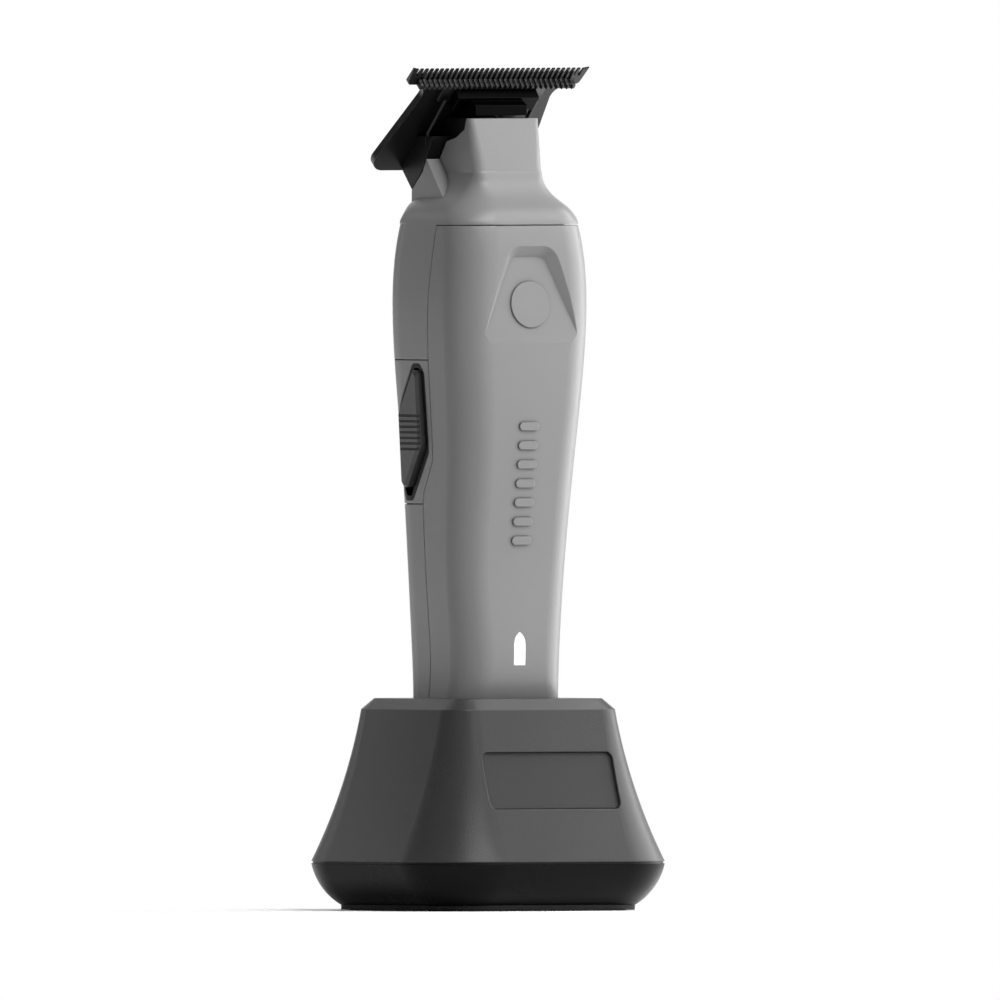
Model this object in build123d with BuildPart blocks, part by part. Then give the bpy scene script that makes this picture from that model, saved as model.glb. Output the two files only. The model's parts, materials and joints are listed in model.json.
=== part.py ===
from build123d import *
from math import atan, cos, radians, sin, sqrt
import os

# Cordless T-blade trimmer standing in its charging dock. Millimetres. +Z is up, -Y is the front,
# the power switch is on the -X side, and the origin is under the middle of the dock's feet.

# ---------------------------------------------------------------- driving dimensions: dock
dock_top_half_width = 22.2
dock_top_half_depth = 20.0
dock_top_corner = 6.0
dock_height = 45.6
dock_top_chamfer = 2.4
dock_wall = 2.4
dock_flare = 10.7
dock_flare_radius = 122.6
dock_flare_top = dock_height - dock_top_chamfer
dock_seam_height = 10.6
dock_seam_gap = 0.5
dock_seam_land = 0.9
dock_seam_slit = 0.2

tray_bottom = 0.9
tray_wall = 2.2
tray_side_radius = 13.75
tray_side_angle = 12.0
tray_lip_height = 2.6
tray_lip_wall = 1.4

foot_radius = 3.8
foot_thickness = 1.3
foot_x = 21.5
foot_y = 14.7

dock_screw_x = 14.0
dock_screw_y = 20.0
dock_boss_radius = 3.0
dock_screw_bite = 6.0
screw_radius = 1.2
screw_head_radius = 2.2
screw_head_height = 1.6
screw_clearance = 0.2
recess_length = 2.6
recess_width = 0.7
recess_depth = 1.0

weight_half_width = 17.0
weight_half_depth = 14.0
weight_thickness = 2.4

label_half_width = 17.15
label_top = dock_height - 11.4
label_bottom = label_top - 12.3
label_corner = 1.6
label_depth = 0.7
label_thickness = 0.8

pocket_depth = 24.0
pocket_clearance = 0.4
rest_gap = 0.2
liner_wall = 1.6

inlet_half_width = 5.2
inlet_height = 4.6
inlet_length = 8.5
inlet_port_half_width = 4.1
inlet_port_height = 2.6
inlet_window_margin = 1.2
inlet_wall = 1.5
inlet_tongue_margin = 2.4
inlet_tongue_height = 0.7

pin_radius = 0.9
pin_spacing = 6.0
pin_reach = 0.6
pin_length = 6.2
barrel_wall = 0.5
running_clearance = 0.05
board_thickness = 1.2
board_drop = 5.4
board_post_radius = 1.5
board_post_x = 10.0
board_post_y = 6.0
dock_board_length = 28.0
dock_board_width = 19.0

# ---------------------------------------------------------------- driving dimensions: trimmer
foot_height = dock_height - pocket_depth
mouth_half_width = 14.1
mouth_front = 10.2
mouth_rear = 12.0
mouth_corner = 6.0
chest_half_width = 18.0
chest_front = 16.7
chest_rear = 15.6
chest_corner = 8.0
chest_height = dock_height + 85.4
collar_height = chest_height + 16.5
front_wall = 2.4
rear_wall = 1.8
cover_gap = 0.2

neck_bottom = collar_height + 11.5
neck_top = neck_bottom + 11.3
neck_half_width = 9.1
neck_front = 6.4
neck_corner = 1.2
neck_wall = 1.5
cheek_half_width = 12.4

chevron_top = collar_height - 6.9
chevron_bottom = chevron_top - 19.1
chevron_top_half_width = 4.2
chevron_bottom_half_width = 13.3
chevron_depth = 2.0
chevron_backing_wall = 1.6
chevron_backing_margin = 1.5
chevron_corner = 2.0

lens_bottom = dock_height + 7.1
lens_top = lens_bottom + 7.3
lens_half_width = 1.55
lens_arch = 2.6
led_width = 2.4
led_height = 2.0
led_depth = 0.5

bars_middle = dock_height + 46.25
bar_count = 7
bar_pitch = 4.1
bar_length = 5.0
bar_height = 1.8
bar_proud = 0.4
disc_height = chevron_top - 10.3
disc_radius = 5.0
disc_proud = 0.35

switch_height = dock_height + 57.3
switch_y = 4.6
switch_half_length = 14.7
switch_half_width = 5.3
switch_tip_half_width = 2.0
switch_corner = 1.2
plate_half_height = 15.4
switch_plate_rear = 12.4
switch_region_inner = 6.0
wall_run = 69.0
bezel_wall = 0.9
bezel_depth = 2.4
slider_proud = 1.3
slider_depth = 1.2
slider_side_gap = 0.45
slider_travel = 1.5
slider_grooves = 7
groove_pitch = 1.2
groove_width = 0.5
groove_depth = 0.45
stem_half_width = 1.2
stem_half_length = 1.6
stem_slot_margin = 0.6
switch_body_length = 12.0
switch_body_width = 6.0
switch_body_depth = 3.6
switch_body_pocket = 2.2
switch_board_length = 18.0
switch_board_rear = 8.0

battery_radius = 7.0
battery_length = 50.0
battery_y = 1.2
battery_bottom = foot_height + 8.4
battery_tip_radius = 2.8
battery_tip_height = 1.2
base_cap_thickness = 1.6
housing_screw_height = foot_height + 11.8
screw_sleeve_radius = 2.9
screw_post_radius = 1.95
housing_screw_x = 9.6
housing_screw_length = 14.0
pad_radius = 2.0

board_front = -7.2
main_board_bottom = dock_height + 0.4
main_board_top = main_board_bottom + 66.0
main_board_half_width = 8.5
board_boss_x = 6.0
board_boss_radius = 1.6

motor_radius = 10.0
motor_bottom = chest_height - 14.0
motor_length = 25.0
motor_cap_thickness = 1.6
mount_thickness = 2.0
shaft_radius = 1.0
eccentricity = 0.8
crank_radius = 2.4
crank_bottom = neck_bottom
crank_top = crank_bottom + 7.5
crank_grip = 5.0
mount_hole_radius = 3.0
drive_pin_radius = 0.8
drive_pin_top = crank_top + 5.9
drive_y = -1.0

# ---------------------------------------------------------------- driving dimensions: blade set
blade_tilt = 44.0
tip_height = neck_top + 10.6
tip_y = -4.95
blade_half_width = 22.4
blade_thickness = 1.6
blade_tip_thickness = 0.35
blade_length = 30.4
blade_corner = 3.4
bar_depth = 4.6
bevel_length = 7.0
stem_top_half_width = 16.2
stem_bottom_half_width = 20.6
tooth_count = 32
tooth_pitch = 1.326
tooth_slot = 0.66
tooth_depth = 3.2
ear_flare = 0.6
ear_corner = 0.9
stem_fillet = 3.6

cutter_half_width = 20.6
cutter_thickness = 1.2
cutter_tip_thickness = 0.4
cutter_setback = 0.7
cutter_length = 8.6
cutter_bevel_end = 2.7
cutter_bar_depth = 4.4
cutter_body_half_width = 13.4
cutter_shoulder_radius = 1.2
cutter_clearance = 0.05
cutter_travel = 0.8
saddle_half_width = 10.5
saddle_bottom = 3.8
saddle_front_reach = 4.95
yoke_half_width = 6.7
yoke_front = -5.1
yoke_rear = 2.4
yoke_bottom = neck_top + 0.6
yoke_top = yoke_bottom + 2.2

blade_screw_x = 6.5
blade_screw_reach = 22.0
blade_screw_length = 4.5
blade_screw_head = 1.0
spring_wire_radius = 0.45
spring_x = 11.95
spring_base_y = 5.5
spring_socket_depth = 2.0

os.makedirs("parts", exist_ok=True)

# ---------------------------------------------------------------- shared shapes


def dock_growth(height):
    """Outward growth of the dock's section below the foot of the top chamfer."""
    chord = sqrt(dock_flare**2 + (dock_flare_top - dock_seam_height) ** 2)
    lean = atan(dock_flare / (dock_flare_top - dock_seam_height))
    half_sweep = chord / (2 * dock_flare_radius)
    top_angle = lean - half_sweep
    sine = sin(top_angle) + (dock_flare_top - height) / dock_flare_radius
    return dock_flare_radius * (cos(top_angle) - sqrt(1 - sine**2))


def tray_growth(height):
    """Outward growth of the tray's section, which rounds inwards below the seam."""
    start = radians(tray_side_angle)
    sine = sin(start) + (dock_seam_height - dock_seam_gap - height) / tray_side_radius
    inward = tray_side_radius * (cos(start) - sqrt(1 - sine**2))
    return dock_growth(dock_seam_height) - inward


def dock_section(growth, mode=Mode.ADD):
    """Rounded rectangle of the dock, with corners that grow with its sides."""
    RectangleRounded(
        2 * (dock_top_half_width + growth),
        2 * (dock_top_half_depth + growth),
        dock_top_corner + growth,
        mode=mode,
    )


def offset_section(half_width, front, rear, corner, mode=Mode.ADD):
    """Rounded rectangle whose front and rear lie at their own distances from the axis."""
    with Locations((0, (rear - front) / 2)):
        RectangleRounded(2 * half_width, front + rear, corner, mode=mode)


def loft_sections(sections, inset=0.0):
    """Smooth solid through (height, half width, front, rear, corner), drawn in by inset."""
    with BuildPart() as solid:
        for height, half_width, front, rear, corner in sections:
            with BuildSketch(Plane.XY.offset(height)):
                offset_section(half_width - inset, front - inset, rear - inset, corner - inset)
        loft()
    return solid.part


def dock_solid(inset, bottom, top):
    """Flared solid of the dock's upper shell between two heights, drawn in by inset."""
    with BuildPart() as solid:
        for step in range(6):
            height = bottom + (top - bottom) * step / 5
            with BuildSketch(Plane.XY.offset(height)):
                dock_section(dock_growth(height) - inset)
        loft()
    return solid.part


def tray_solid(inset, bottom, top):
    """Bowl-shaped solid of the tray between two heights, drawn in by inset."""
    with BuildPart() as solid:
        for step in range(6):
            height = bottom + (top - bottom) * step / 5
            with BuildSketch(Plane.XY.offset(height)):
                dock_section(tray_growth(height) - inset)
        loft()
    return solid.part


# Plug end of the trimmer, which narrows towards its foot inside the pocket.
plug_sections = [
    (foot_height, mouth_half_width - 0.8, mouth_front - 0.8, mouth_rear - 0.6, mouth_corner - 0.5),
    (dock_height, mouth_half_width, mouth_front, mouth_rear, mouth_corner),
]

# Trimmer body from the pocket's mouth to the collar: height, half width, front, rear, corner radius.
body_sections = [
    (dock_height, mouth_half_width, mouth_front, mouth_rear, mouth_corner),
    (dock_height + 24.4, mouth_half_width + 0.5, mouth_front + 1.5, mouth_rear + 1.3, mouth_corner + 0.5),
    (chest_height - 39.0, chest_half_width - 2.3, chest_front - 2.9, chest_rear - 1.5, chest_corner - 1.0),
    (chest_height - 21.0, chest_half_width - 1.1, chest_front - 1.0, chest_rear - 0.6, chest_corner - 0.5),
    (chest_height, chest_half_width, chest_front, chest_rear, chest_corner),
    (collar_height - 5.5, chest_half_width - 0.6, chest_front - 0.1, chest_rear, chest_corner + 0.5),
    (collar_height, chest_half_width - 1.2, chest_front - 1.1, chest_rear - 0.8, chest_corner + 0.6),
]

# Shoulder above the collar, which rounds over and hollows into the neck.
shoulder_sections = [
    (collar_height, chest_half_width - 1.2, chest_front - 1.1, chest_rear - 0.8, chest_corner + 0.6),
    (collar_height + 1.7, chest_half_width - 1.6, chest_front - 1.6, chest_rear - 1.0, chest_corner + 0.4),
    (collar_height + 3.1, chest_half_width - 2.5, chest_front - 2.4, chest_rear - 1.3, chest_corner),
    (collar_height + 4.3, chest_half_width - 3.7, chest_front - 3.5, chest_rear - 1.6, chest_corner - 0.8),
    (collar_height + 5.5, neck_half_width + 3.6, neck_front + 5.5, chest_rear - 2.4, neck_corner + 4.8),
    (collar_height + 6.7, neck_half_width + 2.1, neck_front + 4.5, chest_rear - 3.6, neck_corner + 3.6),
    (collar_height + 8.1, neck_half_width + 0.9, neck_front + 3.6, chest_rear - 5.1, neck_corner + 2.6),
    (collar_height + 9.7, neck_half_width + 0.1, neck_front + 2.9, chest_rear - 6.1, neck_corner + 1.6),
    (neck_bottom, neck_half_width - 0.2, neck_front + 2.4, chest_rear - 6.6, neck_corner + 1.2),
]

# Side seam between front cover and rear housing, as (y, z) from the base cap to the collar.
cap_top = foot_height + base_cap_thickness
seam = [
    (2.2, cap_top + cover_gap),
    (2.2, switch_height - plate_half_height),
    (1.8, switch_height - plate_half_height + 2.4),
    (-2.1, switch_height - plate_half_height + 9.4),
    (-2.6, switch_height + plate_half_height),
    (-3.2, chest_height),
    (-4.7, collar_height),
]

# Blade plane: local x runs across the trimmer, local y runs down the slope from the tooth tips,
# and local z points into the trimmer, so the fixed blade lies at negative z.
tilt = radians(blade_tilt)
blade_plane = Plane(
    origin=(0, tip_y, tip_height),
    x_dir=(-1, 0, 0),
    z_dir=(0, -cos(tilt), -sin(tilt)),
)


def on_slope(reach, depth=0.0):
    """(y, z) of a point at a reach down the blade plane and a depth into the trimmer."""
    return (
        tip_y + reach * sin(tilt) - depth * cos(tilt),
        tip_height - reach * cos(tilt) - depth * sin(tilt),
    )


# Switch plane on the -X wall: local x runs up the wall, local y runs to the rear.
wall_lean = atan((chest_half_width - mouth_half_width) / wall_run)
switch_plane = Plane(
    origin=(-(chest_half_width - 1.55), switch_y, switch_height),
    x_dir=(-sin(wall_lean), 0, cos(wall_lean)),
    z_dir=(-cos(wall_lean), 0, -sin(wall_lean)),
)


def lozenge(half_length, half_width, centre=0.0):
    """Corners of a six-sided switch outline that is the same after half a turn."""
    side = [
        (half_length, 1.4 - half_width),
        (half_length - 2.0, -half_width),
        (10.2 - half_length, -half_width),
        (-half_length, half_width - 2 * switch_tip_half_width),
    ]
    return [(centre + x, y) for x, y in side] + [(centre - x, -y) for x, y in side]


def side_profile(points, half_width):
    """Solid of a (y, z) outline that reaches the same way to both sides."""
    with BuildPart() as solid:
        with BuildSketch(Plane.YZ):
            Polygon(*points, align=None)
        extrude(amount=half_width, both=True)
    return solid.part


# Where the grey neck ends and the black blade seat begins, as (y, z) from front to rear.
seat_line = [
    (-4.85, neck_top),
    (-4.1, neck_top - 2.3),
    (-0.95, neck_top - 4.1),
    (2.75, neck_top - 5.0),
    (5.3, neck_top - 8.6),
    (6.9, neck_top - 11.6),
    (10.9, neck_top - 15.5),
]

# ---------------------------------------------------------------- dock: outer shell
label_skin = dock_solid(label_depth, dock_seam_height, dock_height)
label_back = dock_solid(label_depth + label_thickness, dock_seam_height, dock_height)
boss_bottom = tray_bottom + tray_wall + screw_head_height + 2 * screw_clearance
dock_screw_places = GridLocations(2 * dock_screw_x, 2 * dock_screw_y, 2, 2)


def label_prism(margin):
    """Block through the dock's front wall with the outline of the label panel."""
    with BuildPart() as prism:
        with BuildSketch(Plane.XZ.offset(dock_top_half_depth - 4)):
            with Locations((0, (label_bottom + label_top) / 2)):
                RectangleRounded(
                    2 * (label_half_width - margin),
                    label_top - label_bottom - 2 * margin,
                    label_corner - margin,
                )
        extrude(amount=20)
    return prism.part


with BuildPart() as dock_bosses:
    with BuildSketch(Plane.XY.offset(boss_bottom)):
        with dock_screw_places:
            Circle(dock_boss_radius)
    extrude(amount=dock_height - dock_top_chamfer - boss_bottom)
    add(dock_solid(dock_wall / 2, boss_bottom, dock_flare_top), mode=Mode.INTERSECT)

with BuildPart() as dock_shell:
    add(dock_solid(0, dock_seam_height, dock_height))
    chamfer(dock_shell.faces().sort_by(Axis.Z)[-1].edges(), dock_top_chamfer)
    add(dock_solid(dock_wall, dock_seam_height, dock_height - dock_wall), mode=Mode.SUBTRACT)
    add(dock_bosses.part)
    with BuildSketch(Plane.XY.offset(dock_height)):
        offset_section(
            mouth_half_width + pocket_clearance,
            mouth_front + pocket_clearance,
            mouth_rear + pocket_clearance,
            mouth_corner + pocket_clearance,
        )
    extrude(amount=-dock_wall, mode=Mode.SUBTRACT)
    add(label_prism(0) - label_back, mode=Mode.SUBTRACT)
    with BuildSketch(Plane.XY.offset(boss_bottom)):
        with dock_screw_places:
            Circle(screw_radius)
    extrude(amount=dock_screw_bite + 2, mode=Mode.SUBTRACT)
dock_shell.part.label = "dock_shell"
export_step(dock_shell.part, "parts/dock_shell.step")

# ---------------------------------------------------------------- dock: bottom tray
tray_top = dock_seam_height - dock_seam_gap
tray_floor = tray_bottom + tray_wall
seam_growth = dock_growth(dock_seam_height)
port_height = tray_floor + inlet_height / 2
lip_outer = dock_growth(tray_top + tray_lip_height) - dock_wall - pocket_clearance
lip_inner = lip_outer - tray_lip_wall

with BuildPart() as dock_tray:
    add(tray_solid(0, tray_bottom, tray_top))
    add(tray_solid(tray_wall, tray_floor, tray_top), mode=Mode.SUBTRACT)
    # lip that stands up inside the shell
    with BuildSketch(Plane.XY.offset(tray_top - tray_lip_height)):
        dock_section(seam_growth - tray_wall / 2)
        dock_section(lip_inner, mode=Mode.SUBTRACT)
    extrude(amount=tray_lip_height)
    with BuildSketch(Plane.XY.offset(tray_top)):
        dock_section(lip_outer)
        dock_section(lip_inner, mode=Mode.SUBTRACT)
    extrude(amount=tray_lip_height)
    # land under the shell's wall, which closes most of the seam behind its edge
    with BuildSketch(Plane.XY.offset(tray_top)):
        dock_section(seam_growth - dock_seam_land)
        dock_section(lip_inner, mode=Mode.SUBTRACT)
    extrude(amount=dock_seam_gap - dock_seam_slit)
    # screw columns under the shell's bosses
    with BuildSketch(Plane.XY.offset(tray_floor)):
        with dock_screw_places:
            Circle(dock_boss_radius)
    extrude(amount=boss_bottom - tray_floor - screw_clearance)
    with BuildSketch(Plane.XY.offset(tray_bottom)):
        with dock_screw_places:
            Circle(screw_head_radius + screw_clearance)
    extrude(amount=tray_wall, mode=Mode.SUBTRACT)
    with BuildSketch(Plane.XY.offset(tray_bottom)):
        with dock_screw_places:
            Circle(screw_radius + screw_clearance)
    extrude(amount=boss_bottom - tray_bottom, mode=Mode.SUBTRACT)
    # seats of the feet
    with BuildSketch(Plane.XY.offset(tray_bottom)):
        with GridLocations(2 * foot_x, 2 * foot_y, 2, 2):
            Circle(foot_radius)
    extrude(amount=foot_thickness - tray_bottom, mode=Mode.SUBTRACT)
    # window of the power inlet
    with BuildSketch(Plane.XZ.offset(-dock_top_half_depth)):
        with Locations((0, port_height)):
            RectangleRounded(
                2 * inlet_port_half_width + inlet_window_margin,
                inlet_port_height + inlet_window_margin,
                inlet_window_margin,
            )
    extrude(amount=-20, mode=Mode.SUBTRACT)
dock_tray.part.label = "dock_tray"
export_step(dock_tray.part, "parts/dock_tray.step")

# ---------------------------------------------------------------- dock: pocket liner
pocket_floor = foot_height - rest_gap
liner_bottom = pocket_floor - liner_wall
liner_top = dock_height - dock_wall
board_top = liner_bottom - board_drop
pocket = [
    mouth_half_width + pocket_clearance,
    mouth_front + pocket_clearance,
    mouth_rear + pocket_clearance,
    mouth_corner + pocket_clearance,
]
pin_places = GridLocations(pin_spacing, 0, 2, 1)
barrel_radius = pin_radius + running_clearance + barrel_wall

with BuildPart() as pocket_liner:
    with BuildSketch(Plane.XY.offset(liner_bottom)):
        offset_section(*[size + liner_wall for size in pocket])
    extrude(amount=liner_top - liner_bottom)
    with BuildSketch(Plane.XY.offset(liner_top - liner_wall)):
        offset_section(*[size + 2 * liner_wall for size in pocket])
    extrude(amount=liner_wall)
    with BuildSketch(Plane.XY.offset(pocket_floor)):
        offset_section(*pocket)
    extrude(amount=liner_top - pocket_floor, mode=Mode.SUBTRACT)
    # posts that carry the charging board
    with BuildSketch(Plane.XY.offset(board_top)):
        with GridLocations(2 * board_post_x, 2 * board_post_y, 2, 2):
            Circle(board_post_radius)
    extrude(amount=liner_bottom - board_top)
    with BuildSketch(Plane.XY.offset(liner_bottom)):
        with pin_places:
            Circle(barrel_radius)
    extrude(amount=liner_wall, mode=Mode.SUBTRACT)
pocket_liner.part.label = "pocket_liner"
export_step(pocket_liner.part, "parts/pocket_liner.step")

# ---------------------------------------------------------------- dock: label panel
with BuildPart() as label_panel:
    add((label_prism(screw_clearance / 2) & label_skin) - label_back)
label_panel.part.label = "label_panel"
export_step(label_panel.part, "parts/label_panel.step")

# ---------------------------------------------------------------- dock: charging contacts
with BuildPart() as contact_barrels:
    with BuildSketch(Plane.XY.offset(board_top)):
        with pin_places:
            Circle(barrel_radius)
            Circle(pin_radius + running_clearance, mode=Mode.SUBTRACT)
    extrude(amount=pocket_floor - board_top)
contact_barrels.part.label = "contact_barrels"
export_step(contact_barrels.part, "parts/contact_barrels.step")

with BuildPart() as contact_pin_left:
    with BuildSketch(Plane.XY.offset(pocket_floor + pin_reach - pin_length)):
        with Locations((-pin_spacing / 2, 0)):
            Circle(pin_radius)
    extrude(amount=pin_length)
    fillet(contact_pin_left.edges().sort_by(Axis.Z)[-1], pin_radius * 0.6)
contact_pin_left.part.label = "contact_pin_left"
export_step(contact_pin_left.part, "parts/contact_pin_left.step")

with BuildPart() as contact_pin_right:
    add(mirror(contact_pin_left.part, about=Plane.YZ))
contact_pin_right.part.label = "contact_pin_right"
export_step(contact_pin_right.part, "parts/contact_pin_right.step")

with BuildPart() as dock_board:
    with BuildSketch(Plane.XY.offset(board_top - board_thickness)):
        RectangleRounded(dock_board_length, dock_board_width, board_post_radius)
    extrude(amount=board_thickness)
dock_board.part.label = "dock_board"
export_step(dock_board.part, "parts/dock_board.step")

# ---------------------------------------------------------------- dock: weight, inlet, feet, screws
with BuildPart() as weight_plate:
    with BuildSketch(Plane.XY.offset(tray_floor)):
        RectangleRounded(2 * weight_half_width, 2 * weight_half_depth, 3)
    extrude(amount=weight_thickness)
    chamfer(weight_plate.faces().sort_by(Axis.Z)[-1].edges(), 0.4)
weight_plate.part.label = "weight_plate"
export_step(weight_plate.part, "parts/weight_plate.step")

inlet_back = dock_top_half_depth + tray_growth(tray_floor) - tray_wall - screw_clearance

with BuildPart() as power_inlet:
    with BuildSketch(Plane.XZ.offset(-inlet_back)):
        with Locations((0, port_height)):
            RectangleRounded(2 * inlet_half_width, inlet_height, 0.8)
    extrude(amount=inlet_length)
    with BuildSketch(Plane.XZ.offset(-inlet_back)):
        with Locations((0, port_height)):
            SlotOverall(2 * inlet_port_half_width, inlet_port_height)
            SlotOverall(
                2 * inlet_port_half_width - inlet_tongue_margin,
                inlet_tongue_height,
                mode=Mode.SUBTRACT,
            )
    extrude(amount=inlet_length - inlet_wall, mode=Mode.SUBTRACT)
power_inlet.part.label = "power_inlet"
export_step(power_inlet.part, "parts/power_inlet.step")

with BuildPart() as dock_feet:
    with BuildSketch():
        with GridLocations(2 * foot_x, 2 * foot_y, 2, 2):
            Circle(foot_radius)
    extrude(amount=foot_thickness)
    fillet(dock_feet.faces().group_by(Axis.Z)[0].edges(), 0.35)
dock_feet.part.label = "dock_feet"
export_step(dock_feet.part, "parts/dock_feet.step")

with BuildPart() as dock_screws:
    with BuildSketch(Plane.XY.offset(tray_floor - screw_head_height)):
        with dock_screw_places:
            Circle(screw_head_radius)
    extrude(amount=screw_head_height)
    with BuildSketch(Plane.XY.offset(tray_floor)):
        with dock_screw_places:
            Circle(screw_radius)
    extrude(amount=boss_bottom - tray_floor + dock_screw_bite)
    with BuildSketch(Plane.XY.offset(tray_floor - screw_head_height)):
        with dock_screw_places:
            Rectangle(recess_length, recess_width)
            Rectangle(recess_width, recess_length)
    extrude(amount=recess_depth, mode=Mode.SUBTRACT)
dock_screws.part.label = "dock_screws"
export_step(dock_screws.part, "parts/dock_screws.step")

# ---------------------------------------------------------------- trimmer: skins shared by the covers


def body_solid(inset=0.0):
    """Closed solid of the trimmer from its foot to the collar, drawn in by inset."""
    return loft_sections(plug_sections, inset) + loft_sections(body_sections, inset)


body_skin = body_solid()
body_reach = chest_half_width + 4


def body_side(gap, front_side):
    """Part of the trimmer's height range on one side of the seam, drawn back from it by gap."""
    outer = -body_reach if front_side else body_reach
    shift = -gap if front_side else gap
    profile = [(y + shift, z) for y, z in seam]
    top = collar_height - (cover_gap if front_side else 0)
    profile[-1] = (profile[-1][0], top)
    return side_profile([(outer, profile[0][1]), *profile, (outer, top)], body_reach)


def switch_prism(margin, bottom, top, centre=0.0):
    """Block with the switch outline, grown by margin, between two depths off the switch plane."""
    with BuildPart() as prism:
        with BuildSketch(switch_plane.offset(bottom)) as outline:
            Polygon(*lozenge(switch_half_length, switch_half_width, centre), align=None)
            fillet(outline.vertices(), switch_corner)
            offset(amount=margin)
        extrude(amount=top - bottom)
    return prism.part


bezel_well = switch_prism(cover_gap / 2, -6, 4)
bezel_block = switch_prism(0.001, -bezel_depth, 3)
bezel_hollow = switch_prism(-bezel_wall, bezel_wall - bezel_depth, 4)
slider_margin = -(bezel_wall + slider_side_gap)
slider_block = switch_prism(slider_margin, -slider_depth, slider_proud)
slider_block_up = switch_prism(slider_margin, -slider_depth, slider_proud, slider_travel)


def switch_region(margin):
    """Block round the switch plate between its two border lines and behind the seam."""
    with BuildPart() as block:
        with BuildSketch(Plane.YZ.offset(-switch_region_inner)):
            with Locations((0, switch_height)):
                Rectangle(
                    2 * (switch_plate_rear + margin), 2 * (plate_half_height + margin)
                )
        extrude(amount=-body_reach)
        add(body_side(cover_gap / 2 - margin, False), mode=Mode.INTERSECT)
    return block.part


screw_plane = -(mouth_rear - 1.4)
housing_screw_places = [
    (-housing_screw_x, housing_screw_height),
    (housing_screw_x, housing_screw_height),
]

# ---------------------------------------------------------------- trimmer: front cover
chevron_lean = atan((chevron_depth - 0.2) / (chevron_top - chevron_bottom))
chevron_plane = Plane(
    origin=(0, chevron_depth - chest_front + 0.1, chevron_top),
    x_dir=(1, 0, 0),
    z_dir=(0, -cos(chevron_lean), sin(chevron_lean)),
)
board_boss_heights = [main_board_bottom + 14.0, main_board_top - 12.0]

chevron_outline = [
    (-chevron_top_half_width, 0),
    (-chevron_bottom_half_width, chevron_bottom - chevron_top),
    (chevron_bottom_half_width, chevron_bottom - chevron_top),
    (chevron_top_half_width, 0),
]

with BuildPart() as chevron_cut:
    with BuildSketch(chevron_plane) as outline:
        Polygon(*chevron_outline, align=None)
        fillet(outline.vertices().group_by(Axis.Y)[-1], chevron_corner)
    extrude(amount=3, taper=-45)

# local thickening behind the chevron, where the recess is nearly as deep as the wall
with BuildPart() as chevron_backing:
    with BuildSketch(chevron_plane.offset(-chevron_backing_wall)):
        Polygon(*chevron_outline, align=None)
        offset(amount=chevron_backing_margin)
    extrude(amount=chevron_backing_wall + chevron_depth)
    add(body_solid(front_wall / 2), mode=Mode.INTERSECT)

with BuildPart() as lens_prism:
    with BuildSketch(Plane.XZ.offset(led_depth - board_front + 0.1)):
        with BuildLine():
            shoulder = lens_top - lens_arch
            Polyline(
                (-lens_half_width, shoulder),
                (-lens_half_width, lens_bottom),
                (lens_half_width, lens_bottom),
                (lens_half_width, shoulder),
            )
            ThreePointArc(
                (lens_half_width, shoulder), (lens_half_width * 0.66, shoulder + 1.6), (0, lens_top)
            )
            ThreePointArc(
                (0, lens_top), (-lens_half_width * 0.66, shoulder + 1.6), (-lens_half_width, shoulder)
            )
        make_face()
    extrude(amount=8)

with BuildPart() as board_bosses:
    with BuildSketch(Plane.XZ.offset(-board_front)):
        for height in board_boss_heights:
            with Locations((-board_boss_x, height), (board_boss_x, height)):
                Circle(board_boss_radius)
    extrude(amount=12)
    # posts that the housing screws bite into
    with BuildSketch(Plane.XZ.offset(screw_plane + screw_head_height + 1.8)):
        with Locations(*housing_screw_places):
            Circle(screw_post_radius)
    extrude(amount=30)
    add(body_solid(front_wall / 2), mode=Mode.INTERSECT)

with BuildPart() as grip_bars:
    with BuildSketch(Plane.XZ.offset(mouth_front)):
        with Locations((0, bars_middle)):
            with GridLocations(0, bar_pitch, 1, bar_count):
                SlotOverall(bar_length, bar_height)
    extrude(amount=10)
    add(body_solid(-bar_proud), mode=Mode.INTERSECT)
    add(body_solid(bar_proud), mode=Mode.SUBTRACT)

with BuildPart() as front_cover:
    add(body_skin)
    add(body_solid(front_wall), mode=Mode.SUBTRACT)
    add(body_side(cover_gap / 2, True), mode=Mode.INTERSECT)
    add(board_bosses.part)
    add(chevron_backing.part)
    add(chevron_cut.part, mode=Mode.SUBTRACT)
    add(lens_prism.part, mode=Mode.SUBTRACT)
    with BuildSketch(Plane.XZ.offset(screw_plane)):
        with Locations(*housing_screw_places):
            Circle(screw_radius)
    extrude(amount=screw_head_height + housing_screw_length, mode=Mode.SUBTRACT)
    add(grip_bars.part)
    # plain round boss in the chevron
    with BuildSketch(chevron_plane):
        with Locations((0, disc_height - chevron_top)):
            Circle(disc_radius)
    extrude(amount=disc_proud)
front_cover.part.label = "front_cover"
export_step(front_cover.part, "parts/front_cover.step")

with BuildPart() as indicator_lens:
    add(lens_prism.part & body_skin)
indicator_lens.part.label = "indicator_lens"
export_step(indicator_lens.part, "parts/indicator_lens.step")

# ---------------------------------------------------------------- trimmer: rear housing with the neck
cavity_bottom = shoulder_sections[4][0]
cradle_heights = [battery_bottom + 6.0, battery_bottom + 36.0]

neck_loft_sections = [
    shoulder_sections[-1],
    (neck_top, neck_half_width, neck_front, chest_rear - 6.6, neck_corner),
]

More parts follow.
